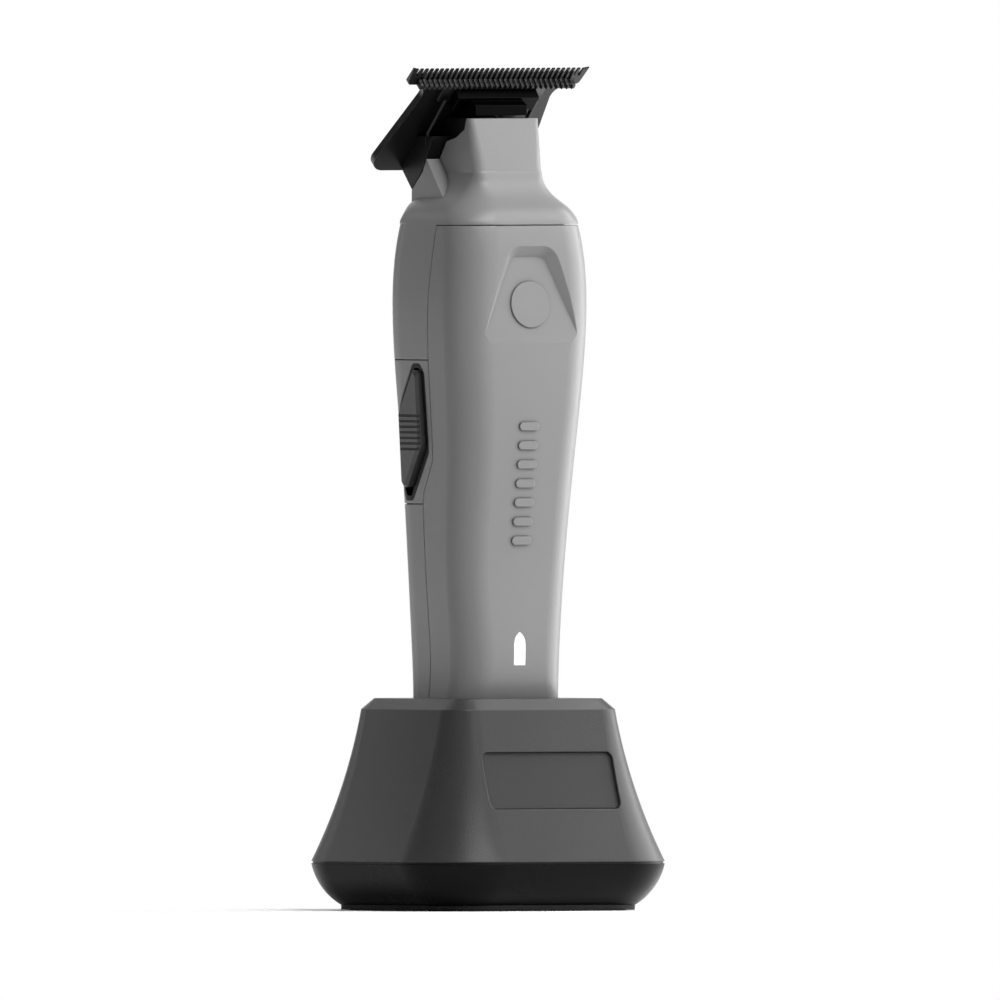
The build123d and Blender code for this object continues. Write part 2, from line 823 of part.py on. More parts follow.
with BuildPart() as rear_ribs:
    # cradles of the battery
    for height in cradle_heights:
        with BuildSketch(Plane.XY.offset(height)):
            Rectangle(2 * chest_half_width, 2 * chest_rear)
            Rectangle(2 * chest_half_width, 2 * (seam[0][0] + cover_gap), mode=Mode.SUBTRACT)
            with Locations((0, -chest_rear / 2)):
                Rectangle(2 * chest_half_width, chest_rear, mode=Mode.SUBTRACT)
            with Locations((0, battery_y)):
                Circle(battery_radius + cover_gap, mode=Mode.SUBTRACT)
        extrude(amount=rear_wall)
    # sleeves of the housing screws
    with BuildSketch(Plane.XZ.offset(screw_plane + screw_head_height + 1.6)):
        with Locations(*housing_screw_places):
            Circle(screw_sleeve_radius)
    extrude(amount=-10)
    add(body_solid(rear_wall / 2), mode=Mode.INTERSECT)

with BuildPart() as cheeks:
    cheek_front = -1.4
    cheek_foot = neck_top - 18.8
    add(side_profile([
        (cheek_front, cheek_foot + 0.9), (5.4, neck_top - 8.7), *seat_line[-2:],
        (seat_line[-1][0], cheek_foot), (cheek_front, cheek_foot),
    ], cheek_half_width))

with BuildPart() as rear_housing:
    add(body_skin)
    add(body_side(cover_gap / 2, False), mode=Mode.INTERSECT)
    add(loft_sections(shoulder_sections))
    add(loft_sections(neck_loft_sections))
    add(cheeks.part)
    add(body_solid(rear_wall), mode=Mode.SUBTRACT)
    add(loft_sections(shoulder_sections[:6], rear_wall), mode=Mode.SUBTRACT)
    with BuildSketch(Plane.XY.offset(cavity_bottom)):
        offset_section(neck_half_width - neck_wall, neck_front - neck_wall, 5.0, 0.3)
    extrude(amount=neck_top - cavity_bottom + 1, mode=Mode.SUBTRACT)
    add(side_profile([
        *seat_line, (body_reach, seat_line[-1][1]), (body_reach, tip_height),
        (seat_line[0][0], tip_height),
    ], body_reach), mode=Mode.SUBTRACT)
    add(switch_region(cover_gap), mode=Mode.SUBTRACT)
    add(bezel_well, mode=Mode.SUBTRACT)
    add(rear_ribs.part)
    # counterbores of the housing screws
    with BuildSketch(Plane.XZ.offset(screw_plane + screw_head_height)):
        with Locations(*housing_screw_places):
            Circle(screw_head_radius + screw_clearance)
    extrude(amount=-10, mode=Mode.SUBTRACT)
    with BuildSketch(Plane.XZ.offset(screw_plane)):
        with Locations(*housing_screw_places):
            Circle(screw_radius + screw_clearance)
    extrude(amount=8, mode=Mode.SUBTRACT)
rear_housing.part.label = "rear_housing"
export_step(rear_housing.part, "parts/rear_housing.step")

# ---------------------------------------------------------------- trimmer: switch
with BuildPart() as switch_plate:
    add(body_skin)
    add(body_solid(rear_wall), mode=Mode.SUBTRACT)
    add(switch_region(0), mode=Mode.INTERSECT)
    add(bezel_well, mode=Mode.SUBTRACT)
switch_plate.part.label = "switch_plate"
export_step(switch_plate.part, "parts/switch_plate.step")

stem_depth = bezel_depth + 4.2
switch_body_top = -(bezel_depth + 3.0)

with BuildPart() as switch_bezel:
    add(bezel_block)
    add(body_skin, mode=Mode.INTERSECT)
    add(bezel_hollow, mode=Mode.SUBTRACT)
    with BuildSketch(switch_plane.offset(-bezel_depth)):
        with Locations((-slider_travel / 2, 0)):
            SlotOverall(
                2 * stem_half_length + slider_travel + 1.6,
                2 * stem_half_width + stem_slot_margin,
            )
    extrude(amount=bezel_wall, mode=Mode.SUBTRACT)
switch_bezel.part.label = "switch_bezel"
export_step(switch_bezel.part, "parts/switch_bezel.step")

with BuildPart() as switch_slider:
    add(slider_block)
    add(slider_block_up, mode=Mode.INTERSECT)
    top_face = switch_slider.faces().sort_by(Axis.X)[0]
    chamfer(top_face.edges(), 0.6)
    # grip grooves across the slider
    with BuildSketch(switch_plane.offset(slider_proud)):
        with GridLocations(groove_pitch, 0, slider_grooves, 1):
            Rectangle(groove_width, 4 * switch_half_width)
    extrude(amount=-groove_depth, mode=Mode.SUBTRACT)
    with BuildSketch(switch_plane.offset(-slider_depth)):
        Rectangle(2 * stem_half_length, 2 * stem_half_width)
    extrude(amount=-(stem_depth - slider_depth))
switch_slider.part.label = "switch_slider"
export_step(switch_slider.part, "parts/switch_slider.step")

with BuildPart() as slide_switch:
    with BuildSketch(switch_plane.offset(switch_body_top)):
        Rectangle(switch_body_length, switch_body_width)
    extrude(amount=-switch_body_depth)
    with BuildSketch(switch_plane.offset(switch_body_top)):
        with Locations((-slider_travel / 2, 0)):
            Rectangle(
                2 * stem_half_length + slider_travel + 0.8,
                2 * stem_half_width + stem_slot_margin,
            )
    extrude(amount=-switch_body_pocket, mode=Mode.SUBTRACT)
slide_switch.part.label = "slide_switch"
export_step(slide_switch.part, "parts/slide_switch.step")

main_board_back = board_front + board_thickness

with BuildPart() as switch_board:
    with BuildSketch(switch_plane.offset(switch_body_top - switch_body_depth)):
        with Locations((0, (main_board_back + switch_board_rear) / 2 - switch_y)):
            Rectangle(switch_board_length, switch_board_rear - main_board_back - cover_gap)
    extrude(amount=-board_thickness)
switch_board.part.label = "switch_board"
export_step(switch_board.part, "parts/switch_board.step")

# ---------------------------------------------------------------- trimmer: electronics and battery
with BuildPart() as main_board:
    with BuildSketch(Plane.XZ.offset(-main_board_back)):
        with Locations((0, (main_board_bottom + main_board_top) / 2)):
            RectangleRounded(
                2 * main_board_half_width, main_board_top - main_board_bottom, 1.5
            )
    extrude(amount=board_thickness)
main_board.part.label = "main_board"
export_step(main_board.part, "parts/main_board.step")

with BuildPart() as indicator_led:
    with BuildSketch(Plane.XZ.offset(-board_front)):
        with Locations((0, (lens_bottom + lens_top) / 2)):
            Rectangle(led_width, led_height)
    extrude(amount=led_depth)
indicator_led.part.label = "indicator_led"
export_step(indicator_led.part, "parts/indicator_led.step")

with BuildPart() as battery_cell:
    with BuildSketch(Plane.XY.offset(battery_bottom)):
        with Locations((0, battery_y)):
            Circle(battery_radius)
    extrude(amount=battery_length)
    fillet(battery_cell.edges().filter_by(GeomType.CIRCLE), 0.6)
    with BuildSketch(Plane.XY.offset(battery_bottom + battery_length)):
        with Locations((0, battery_y)):
            Circle(battery_tip_radius)
    extrude(amount=battery_tip_height)
battery_cell.part.label = "battery_cell"
export_step(battery_cell.part, "parts/battery_cell.step")

pad_face = foot_height + pin_reach + rest_gap
foot_section = plug_sections[0][1:]

with BuildPart() as base_cap:
    with BuildSketch(Plane.XY.offset(foot_height)):
        offset_section(*foot_section)
    extrude(amount=base_cap_thickness)
    fillet(base_cap.faces().sort_by(Axis.Z)[0].edges(), 0.8)
    # collar inside the covers, which carries the battery
    with BuildSketch(Plane.XY.offset(cap_top)):
        offset_section(*[size - front_wall - cover_gap for size in foot_section])
        offset_section(*[size - front_wall - 1.6 for size in foot_section], mode=Mode.SUBTRACT)
    extrude(amount=battery_bottom - cap_top)
    with BuildSketch(Plane.XY.offset(foot_height)):
        with pin_places:
            Circle(pad_radius)
    extrude(amount=base_cap_thickness, mode=Mode.SUBTRACT)
base_cap.part.label = "base_cap"
export_step(base_cap.part, "parts/base_cap.step")

with BuildPart() as charge_pads:
    with BuildSketch(Plane.XY.offset(pad_face)):
        with pin_places:
            Circle(pad_radius)
    extrude(amount=cap_top - pad_face)
charge_pads.part.label = "charge_pads"
export_step(charge_pads.part, "parts/charge_pads.step")

with BuildPart() as housing_screws:
    with BuildSketch(Plane.XZ.offset(screw_plane)):
        with Locations(*housing_screw_places):
            Circle(screw_head_radius)
    extrude(amount=screw_head_height)
    with BuildSketch(Plane.XZ.offset(screw_plane + screw_head_height)):
        with Locations(*housing_screw_places):
            Circle(screw_radius)
    extrude(amount=housing_screw_length)
    with BuildSketch(Plane.XZ.offset(screw_plane)):
        with Locations(*housing_screw_places):
            Rectangle(recess_length, recess_width)
            Rectangle(recess_width, recess_length)
    extrude(amount=recess_depth, mode=Mode.SUBTRACT)
housing_screws.part.label = "housing_screws"
export_step(housing_screws.part, "parts/housing_screws.step")

# ---------------------------------------------------------------- trimmer: motor and crank
motor_top = motor_bottom + motor_length
can_wall = 0.8
can_end = 1.5
core_gap = 0.6
motor_plane = Plane(origin=(0, drive_y, motor_bottom))

with BuildPart() as motor_can:
    with BuildSketch(motor_plane):
        Circle(motor_radius)
        Circle(motor_radius - can_wall, mode=Mode.SUBTRACT)
    extrude(amount=motor_length)
    with BuildSketch(motor_plane.offset(motor_length - can_end)):
        Circle(motor_radius)
        Circle(shaft_radius + running_clearance, mode=Mode.SUBTRACT)
    extrude(amount=can_end)
motor_can.part.label = "motor_can"
export_step(motor_can.part, "parts/motor_can.step")

with BuildPart() as motor_end_cap:
    with BuildSketch(motor_plane.offset(-motor_cap_thickness)):
        Circle(motor_radius)
        Circle(shaft_radius + running_clearance, mode=Mode.SUBTRACT)
    extrude(amount=motor_cap_thickness)
motor_end_cap.part.label = "motor_end_cap"
export_step(motor_end_cap.part, "parts/motor_end_cap.step")

with BuildPart() as motor_rotor:
    with BuildSketch(motor_plane.offset(-motor_cap_thickness)):
        Circle(shaft_radius)
    extrude(amount=crank_bottom + crank_grip - motor_bottom + motor_cap_thickness)
    with BuildSketch(motor_plane.offset(core_gap)):
        Circle(motor_radius - can_wall - core_gap)
    extrude(amount=motor_length - can_end - 2 * core_gap)
motor_rotor.part.label = "motor_rotor"
export_step(motor_rotor.part, "parts/motor_rotor.step")

with BuildPart() as drive_crank:
    with BuildSketch(Plane.XY.offset(crank_bottom)):
        with Locations((0, drive_y)):
            Circle(crank_radius)
    extrude(amount=crank_top - crank_bottom)
    with BuildSketch(Plane.XY.offset(crank_bottom)):
        with Locations((0, drive_y)):
            Circle(shaft_radius)
    extrude(amount=crank_grip, mode=Mode.SUBTRACT)
    with BuildSketch(Plane.XY.offset(crank_top)):
        with Locations((eccentricity, drive_y)):
            Circle(drive_pin_radius)
    extrude(amount=drive_pin_top - crank_top)
drive_crank.part.label = "drive_crank"
export_step(drive_crank.part, "parts/drive_crank.step")

mount_section = [chest_half_width - 0.6, chest_front - 0.1, chest_rear, chest_corner + 0.5]

with BuildPart() as motor_mount:
    with BuildSketch(Plane.XY.offset(motor_top)):
        offset_section(*[size - front_wall - 0.4 for size in mount_section])
        with Locations((0, drive_y)):
            Circle(mount_hole_radius, mode=Mode.SUBTRACT)
    extrude(amount=mount_thickness)
motor_mount.part.label = "motor_mount"
export_step(motor_mount.part, "parts/motor_mount.step")

seat_bottom = crank_bottom - 1.0
seal_thickness = 2.0
tower_half_width = neck_half_width - neck_wall - cover_gap
tower_front = neck_front - neck_wall - cover_gap

with BuildPart() as shaft_seal:
    with BuildSketch(Plane.XY.offset(seat_bottom - seal_thickness)):
        offset_section(tower_half_width, tower_front, 4.6, 0.8)
        with Locations((0, drive_y)):
            Circle(shaft_radius + cover_gap, mode=Mode.SUBTRACT)
    extrude(amount=seal_thickness)
shaft_seal.part.label = "shaft_seal"
export_step(shaft_seal.part, "parts/shaft_seal.step")

# ---------------------------------------------------------------- blade set: seat in the neck
tower_top = neck_top + 0.1
cheek_top = neck_top - 3.9
cheek_step = 3.3
tower_rear = 4.7
cheek_reach = (tip_height - cheek_top) / cos(tilt)
tower_reach = (tip_height - tower_top) / cos(tilt)

with BuildPart() as blade_seat:
    # cheeks under the fixed blade, which close the rear of the head
    add(side_profile([
        (seat_line[6][0], seat_line[6][1] + cover_gap), on_slope(blade_length - 1.4),
        on_slope(cheek_reach), (cheek_step, cheek_top), (cheek_step, seat_line[3][1] + cover_gap),
        (seat_line[4][0] + cover_gap, seat_line[4][1] + cover_gap),
        (seat_line[5][0] + cover_gap, seat_line[5][1] + cover_gap),
    ], cheek_half_width))
    # tower that stands in the neck round the crank
    add(side_profile([
        (-tower_front, seat_bottom), (-tower_front, tower_top), on_slope(tower_reach),
        on_slope(cheek_reach + 1), (tower_rear, neck_top - 7.3), (tower_rear, seat_bottom),
    ], tower_half_width))
    with BuildSketch(Plane.XY.offset(seat_bottom)):
        with Locations((0, drive_y)):
            Circle(crank_radius + 0.5)
    extrude(amount=crank_top + 0.5 - seat_bottom, mode=Mode.SUBTRACT)
    with BuildSketch(Plane.XY.offset(seat_bottom)):
        with Locations((0, drive_y)):
            Circle(eccentricity + drive_pin_radius + 0.5)
    extrude(amount=tower_top - seat_bottom + 1, mode=Mode.SUBTRACT)
    # screw holes square to the blade
    with BuildSketch(blade_plane):
        with Locations((-blade_screw_x, blade_screw_reach), (blade_screw_x, blade_screw_reach)):
            Circle(screw_radius)
    extrude(amount=blade_screw_length, mode=Mode.SUBTRACT)
    # sockets of the tension springs
    with BuildSketch(Plane.XY.offset(cheek_top)):
        with Locations((-spring_x, spring_base_y), (spring_x, spring_base_y)):
            Circle(spring_wire_radius)
    extrude(amount=-spring_socket_depth, mode=Mode.SUBTRACT)
blade_seat.part.label = "blade_seat"
export_step(blade_seat.part, "parts/blade_seat.step")

# ---------------------------------------------------------------- blade set: fixed blade
slot_places = GridLocations(tooth_pitch, 0, tooth_count + 1, 1)

with BuildPart() as tooth_slots:
    with BuildSketch(blade_plane.offset(-blade_thickness - 1)):
        with Locations((0, tooth_depth / 2 - 0.5)):
            with slot_places:
                Rectangle(tooth_slot, tooth_depth + 1)
    extrude(amount=blade_thickness + cutter_thickness + 2)

with BuildPart() as fixed_blade:
    with BuildSketch(blade_plane.offset(-blade_thickness)) as outline:
        Polygon(
            (-blade_half_width - ear_flare, -ear_flare / 2), (-blade_half_width + 0.5, 0),
            (blade_half_width - 0.5, 0), (blade_half_width + ear_flare, -ear_flare / 2),
            (blade_half_width, bar_depth), (stem_top_half_width, bar_depth),
            (stem_bottom_half_width, blade_length), (-stem_bottom_half_width, blade_length),
            (-stem_top_half_width, bar_depth), (-blade_half_width, bar_depth), align=None,
        )
        fillet(outline.vertices().group_by(Axis.Y)[-1], blade_corner)
        underside = outline.vertices().filter_by(lambda v: abs(v.Y - bar_depth) < 0.01)
        fillet(underside.sort_by(Axis.X)[1:3], stem_fillet)
        underside = outline.vertices().filter_by(lambda v: abs(v.Y - bar_depth) < 0.01)
        fillet([underside.sort_by(Axis.X)[0], underside.sort_by(Axis.X)[-1]], ear_corner)
    extrude(amount=blade_thickness)
    # ground bevel of the outer face towards the tips
    add(side_profile([
        on_slope(-1, -blade_tip_thickness), on_slope(0, -blade_tip_thickness),
        on_slope(bevel_length, -blade_thickness), on_slope(bevel_length, -blade_thickness - 2),
        on_slope(-1, -blade_thickness - 2),
    ], blade_half_width + 2), mode=Mode.SUBTRACT)
    add(tooth_slots.part, mode=Mode.SUBTRACT)
    with BuildSketch(blade_plane.offset(-blade_thickness)):
        with Locations((-blade_screw_x, blade_screw_reach), (blade_screw_x, blade_screw_reach)):
            Circle(screw_radius + screw_clearance)
    extrude(amount=blade_thickness, mode=Mode.SUBTRACT)
fixed_blade.part.label = "fixed_blade"
export_step(fixed_blade.part, "parts/fixed_blade.step")

with BuildPart() as blade_screws:
    with BuildSketch(blade_plane.offset(-blade_thickness - blade_screw_head)):
        with Locations((-blade_screw_x, blade_screw_reach), (blade_screw_x, blade_screw_reach)):
            Circle(screw_head_radius)
    extrude(amount=blade_screw_head)
    with BuildSketch(blade_plane.offset(-blade_thickness)):
        with Locations((-blade_screw_x, blade_screw_reach), (blade_screw_x, blade_screw_reach)):
            Circle(screw_radius)
    extrude(amount=blade_thickness + blade_screw_length)
    with BuildSketch(blade_plane.offset(-blade_thickness - blade_screw_head)):
        with Locations((-blade_screw_x, blade_screw_reach), (blade_screw_x, blade_screw_reach)):
            Rectangle(recess_length, recess_width)
            Rectangle(recess_width, recess_length)
    extrude(amount=0.6, mode=Mode.SUBTRACT)
blade_screws.part.label = "blade_screws"
export_step(blade_screws.part, "parts/blade_screws.step")

# ---------------------------------------------------------------- blade set: cutter, yoke and springs
with BuildPart() as cutter_blade:
    with BuildSketch(blade_plane.offset(cutter_clearance)) as outline:
        Polygon(
            (-cutter_half_width, cutter_setback), (cutter_half_width, cutter_setback),
            (cutter_half_width, cutter_bar_depth), (cutter_body_half_width, cutter_bar_depth),
            (cutter_body_half_width, cutter_length), (-cutter_body_half_width, cutter_length),
            (-cutter_body_half_width, cutter_bar_depth), (-cutter_half_width, cutter_bar_depth),
            align=None,
        )
        inner_corners = outline.vertices().filter_by(lambda v: abs(v.Y - cutter_bar_depth) < 0.01)
        fillet(inner_corners.sort_by(Axis.X)[1:3], cutter_shoulder_radius)
    extrude(amount=cutter_thickness)
    # ground bevel of the inner face towards the tips
    add(side_profile([
        on_slope(0, cutter_tip_thickness), on_slope(cutter_setback, cutter_tip_thickness),
        on_slope(cutter_bevel_end, cutter_clearance + cutter_thickness),
        on_slope(cutter_bevel_end, cutter_thickness + 3), on_slope(0, cutter_thickness + 3),
    ], cutter_half_width + 2), mode=Mode.SUBTRACT)
    add(tooth_slots.part, mode=Mode.SUBTRACT)
cutter_blade.part.label = "cutter_blade"
export_step(cutter_blade.part, "parts/cutter_blade.step")

cutter_face = cutter_clearance + cutter_thickness

with BuildPart() as cutter_yoke:
    add(side_profile([
        on_slope(cutter_bar_depth, cutter_face), on_slope(saddle_front_reach, saddle_bottom),
        on_slope(cutter_length, saddle_bottom), on_slope(cutter_length, cutter_face),
    ], saddle_half_width))
    add(side_profile([
        (yoke_front, yoke_bottom), (yoke_front, yoke_top), on_slope(6.0, 3.0),
        on_slope(cutter_length - 0.2, 3.0), (yoke_rear - 0.4, yoke_bottom + 1.4),
        (yoke_rear - 0.4, yoke_bottom),
    ], yoke_half_width))
    with BuildSketch(Plane.XY.offset(yoke_bottom)):
        with Locations((0, drive_y)):
            slot_half_width = drive_pin_radius + eccentricity + cutter_travel + 0.2
            slot_half_depth = drive_pin_radius + eccentricity + 0.3
            Rectangle(2 * slot_half_width, 2 * slot_half_depth)
    extrude(amount=drive_pin_top + 0.5 - yoke_bottom, mode=Mode.SUBTRACT)
cutter_yoke.part.label = "cutter_yoke"
export_step(cutter_yoke.part, "parts/cutter_yoke.step")

spring_base = cheek_top - spring_socket_depth
spring_tip = on_slope(cutter_length - 1.2, cutter_face + 0.2 + spring_wire_radius)

with BuildPart() as tension_springs:
    for side in (-1, 1):
        with BuildLine() as wire_line:
            Polyline(
                (side * spring_x, spring_base_y, spring_base),
                (side * spring_x, spring_base_y, cheek_top + 0.6),
                (side * spring_x, *spring_tip),
            )
        with BuildSketch(Plane(origin=wire_line.line @ 0, z_dir=wire_line.line % 0)):
            Circle(spring_wire_radius)
        sweep(path=wire_line.line, transition=Transition.ROUND)
tension_springs.part.label = "tension_springs"
export_step(tension_springs.part, "parts/tension_springs.step")
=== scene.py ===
# %% [markdown]
# # A cordless T-blade trimmer in its charging dock
# The object is a hair trimmer that stands blade up in a small dock. Its shape comes from a CAD
# model that is loaded as a fixed frame: one mesh for each part, each riding on a moving body. In
# Blender we add what CAD leaves out. Fine repeated parts such as teeth and screws are made with
# Geometry Nodes, and every surface gets a procedural finish. Lengths are metres, except where
# a cell says millimetres.

# %% Load the frame
import json
import math

import bmesh
import bpy
from mathutils import Matrix, Vector


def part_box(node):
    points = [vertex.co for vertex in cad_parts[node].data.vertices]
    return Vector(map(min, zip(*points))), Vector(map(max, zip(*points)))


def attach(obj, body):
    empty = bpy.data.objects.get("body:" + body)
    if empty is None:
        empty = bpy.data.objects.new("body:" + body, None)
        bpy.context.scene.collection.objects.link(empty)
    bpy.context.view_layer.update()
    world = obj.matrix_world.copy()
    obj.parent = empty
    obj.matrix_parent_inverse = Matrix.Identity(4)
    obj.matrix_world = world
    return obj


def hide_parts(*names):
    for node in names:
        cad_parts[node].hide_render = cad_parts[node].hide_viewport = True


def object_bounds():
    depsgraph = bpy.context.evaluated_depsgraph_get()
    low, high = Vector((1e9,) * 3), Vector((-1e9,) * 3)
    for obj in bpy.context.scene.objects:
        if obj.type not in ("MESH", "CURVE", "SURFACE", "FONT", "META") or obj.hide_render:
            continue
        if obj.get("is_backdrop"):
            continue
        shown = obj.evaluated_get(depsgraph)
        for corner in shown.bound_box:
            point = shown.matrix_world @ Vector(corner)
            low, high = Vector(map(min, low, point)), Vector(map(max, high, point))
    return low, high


MM = 0.001
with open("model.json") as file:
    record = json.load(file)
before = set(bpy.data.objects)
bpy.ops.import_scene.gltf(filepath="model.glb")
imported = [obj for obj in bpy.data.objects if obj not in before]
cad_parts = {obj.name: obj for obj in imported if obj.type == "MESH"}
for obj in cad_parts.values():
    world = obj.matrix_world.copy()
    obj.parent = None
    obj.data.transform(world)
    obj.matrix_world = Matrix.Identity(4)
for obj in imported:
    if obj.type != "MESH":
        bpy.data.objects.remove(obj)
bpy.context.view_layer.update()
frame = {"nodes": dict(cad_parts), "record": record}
nodes = frame["nodes"]

# %% [markdown]
# ## Shader maths that reads like maths
# A finish is a small calculation: take a noise, stretch it, mix it with an edge mask. Wiring that
# by hand hides the idea, so this class wraps an output socket and lets Python's own operators add
# the Math nodes. `1 - mask * 0.3` then means what it says.


# %% A socket that can be calculated with
class Wire:
    """An output socket that can stand in a Python expression."""

    def __init__(self, builder, socket):
        self.builder = builder
        self.socket = socket

    def maths(self, operation, *values):
        return self.builder.node("Math", {"operation": operation}, dict(enumerate(values)))

    def __add__(self, other):
        return self.maths("ADD", self, other)

    def __sub__(self, other):
        return self.maths("SUBTRACT", self, other)

    def __rsub__(self, other):
        return self.maths("SUBTRACT", other, self)

    def __mul__(self, other):
        return self.maths("MULTIPLY", self, other)

    __radd__ = __add__
    __rmul__ = __mul__

    def clamped(self):
        return self.maths("MINIMUM", self.maths("MAXIMUM", self, 0.0), 1.0)


# %% [markdown]
# ## A finish
# `Finish` is one material. Its `node` method adds any shader node: the settings first, because
# they can change which sockets a node has, then values or links for the sockets. The other
# methods are the few things that all the plastics and metals here share: noise, bump, a mask of
# the edges where handling wears a surface or a painted highlight lightens it, and one of the
# hollows that light hardly reaches, which the plastics darken as painted shade.


# %% The finish builder
BEVEL_SAMPLES, HOLLOW_SAMPLES = 4, 6
# How far the rounded normal has turned from its face where the edge mask begins and is full.
EDGE_TURN = (0.02, 0.22)
# The share of blocked view that isn't a hollow yet.
LEAST_HOLLOW = 0.04


class Builder:
    """A node tree under construction."""

    def node(self, kind, settings, sockets, output=0):
        """Adds a node and returns one of its outputs as a Wire."""
        named = kind.startswith(("Geometry", "Function"))
        made = self.tree.nodes.new(kind if named else "ShaderNode" + kind)
        for name, value in settings.items():
            setattr(made, name, value)
        for name, value in sockets.items():
            if isinstance(value, Wire):
                self.tree.links.new(value.socket, made.inputs[name])
            else:
                made.inputs[name].default_value = value
        return Wire(self, made.outputs[output])

    def is_ray(self, kind):
        """1 for rays of this kind, such as Camera or Glossy, and 0 for all others."""
        return self.node("LightPath", {}, {}, f"Is {kind} Ray")


class Finish(Builder):
    """A procedural material under construction."""

    def __init__(self, name):
        self.material = bpy.data.materials.new(name)
        self.material.use_nodes = True
        self.tree = self.material.node_tree
        self.tree.nodes.clear()
        self.place = self.node("TexCoord", {}, {}, "Object")

    def stretched(self, scale):
        """Object coordinates, in metres, scaled along each axis."""
        return self.node("Mapping", {}, {"Vector": self.place, "Scale": scale})

    def noise(self, scale, detail=2.0, roughness=0.5, where=None):
        """Soft noise with about scale patches in a metre; detail adds finer layers."""
        sockets = {"Vector": where or self.place, "Scale": scale, "Detail": detail}
        return self.node("TexNoise", {}, {**sockets, "Roughness": roughness})

    def band(self, value, low, high):
        """0 below low, 1 above high, and a smooth step between."""
        settings = {"interpolation_type": "SMOOTHSTEP"}
        return self.node("MapRange", settings, {"Value": value, "From Min": low, "From Max": high})

    def mix(self, factor, first, second):
        """A colour between two colours."""
        return self.node("Mix", {"data_type": "RGBA"}, {0: factor, 6: first, 7: second}, 2)

    def edges(self, radius):
        """Rounded normals, and a mask that is 1 where they turn away from the flat face."""
        rounded = self.node("Bevel", {"samples": BEVEL_SAMPLES}, {"Radius": radius})
        flat = self.node("NewGeometry", {}, {}, "Normal")
        alike = self.node(
            "VectorMath", {"operation": "DOT_PRODUCT"}, {0: rounded, 1: flat}, "Value"
        )
        return rounded, self.band(1 - alike, *EDGE_TURN)

    def hollows(self, reach, deepest):
        """A mask that grows to 1 where deepest of the view out, within reach, is blocked."""
        settings = {"samples": HOLLOW_SAMPLES, "only_local": True}
        openness = self.node("AmbientOcclusion", settings, {"Distance": reach}, "AO")
        return self.band(1 - openness, LEAST_HOLLOW, deepest)

    def bump(self, height, distance, normal=None):
        """Normals that a height turns, over those given or the surface's own."""
        sockets = {"Height": height, "Distance": distance}
        if normal:
            sockets["Normal"] = normal
        return self.node("Bump", {}, sockets)

    def surface(self, **sockets):
        """Ends the tree in a Principled shader with these sockets, named_with_underscores."""
        named = {name.replace("_", " "): value for name, value in sockets.items()}
        shader = self.node("BsdfPrincipled", {}, named)
        self.end_in(shader)
        print("finish:", self.material.name)
        return self.material

    def end_in(self, shader):
        end = self.tree.nodes.new("ShaderNodeOutputMaterial")
        self.tree.links.new(shader.socket, end.inputs["Surface"])


def grey(level):
    """A neutral colour from its sRGB level of 0 to 255."""
    value = level / 255
    linear = value / 12.92 if value < 0.04045 else ((value + 0.055) / 1.055) ** 2.4
    return (linear, linear, linear, 1.0)


def tint(red, green, blue):
    """A colour from its sRGB levels."""
    return tuple(grey(level)[0] for level in (red, green, blue)) + (1.0,)


# %% [markdown]
# ## Soft-touch grey of the trimmer's covers
# The covers are moulded plastic under a soft-touch lacquer: a fine sprayed grain, an even matte
# sheen, and slightly shinier places where fingers rub. One fast noise gives the grain as bump, a
# slow one varies the roughness, and the edge mask polishes the edges and lightens their colour a
# little, partly as wear and partly as a painted highlight. The Bevel node also rounds the seams
# and the rim of the chevron by a fraction of a millimetre. The hollows get painted shade: the
# paint is darker along the foot of each raised shape.


# %% Lacquered plastics
def lacquer(
    name, level, roughness, grain=0.03 * MM, edge_wear_and_highlight_level=None, edge_radius=0.3 * MM, shine=0.5,
    deepest=0.5, hollow_shade_level=None,
):
    """Sprayed or textured plastic with edges lighter from wear and painted highlight, and painted
    shade in its hollows.
    """
    finish = Finish(name)
    rounded, edge = finish.edges(edge_radius)
    cloud = finish.noise(38.0, detail=3.0)
    spray = finish.noise(5200.0, detail=1.0)
    rubbed = finish.band(finish.noise(16.0, detail=4.0, roughness=0.6), 0.42, 0.68)
    base = finish.mix(cloud, grey(level - 2), grey(level + 2))
    # Lighter edges: partly wear and partly a painted highlight.
    worn = finish.mix(edge * 0.5, base, grey(edge_wear_and_highlight_level or level + 14))
    # Painted shade: the colour darkens in the hollows, where shade falls.
    hollow_shade = finish.hollows(1.4 * MM, deepest)
    shaded = finish.mix(hollow_shade * 0.8, worn, grey(hollow_shade_level or level * 0.5))
    return finish.surface(
        Base_Color=shaded,
        Roughness=roughness + (spray - 0.5) * 0.08 - rubbed * 0.05 - edge * 0.06,
        Normal=finish.bump(spray, grain, rounded),
        Specular_IOR_Level=shine,
    )


# The edge levels lighten edges as a painted highlight, strongest on the black bezel; the hollow
# shade levels set how dark the painted shade in hollows gets.
body_grey = lacquer("body_grey", 152, 0.36)
switch_grey = lacquer(
    "switch_grey", 78, 0.42, edge_radius=0.12 * MM, deepest=0.22, hollow_shade_level=6
)
bezel_black = lacquer(
    "bezel_black", 6, 0.34, edge_wear_and_highlight_level=190, edge_radius=0.15 * MM, shine=0.12
)
black_plastic = lacquer(
    "black_plastic", 12, 0.4, edge_wear_and_highlight_level=44, edge_radius=0.25 * MM, shine=0.25
)
saddle_plastic = lacquer(
    "saddle_plastic", 2, 0.34, edge_wear_and_highlight_level=60, edge_radius=0.3 * MM, shine=0.05
)
foot_rubber = lacquer("foot_rubber", 30, 0.75, grain=0.08 * MM)
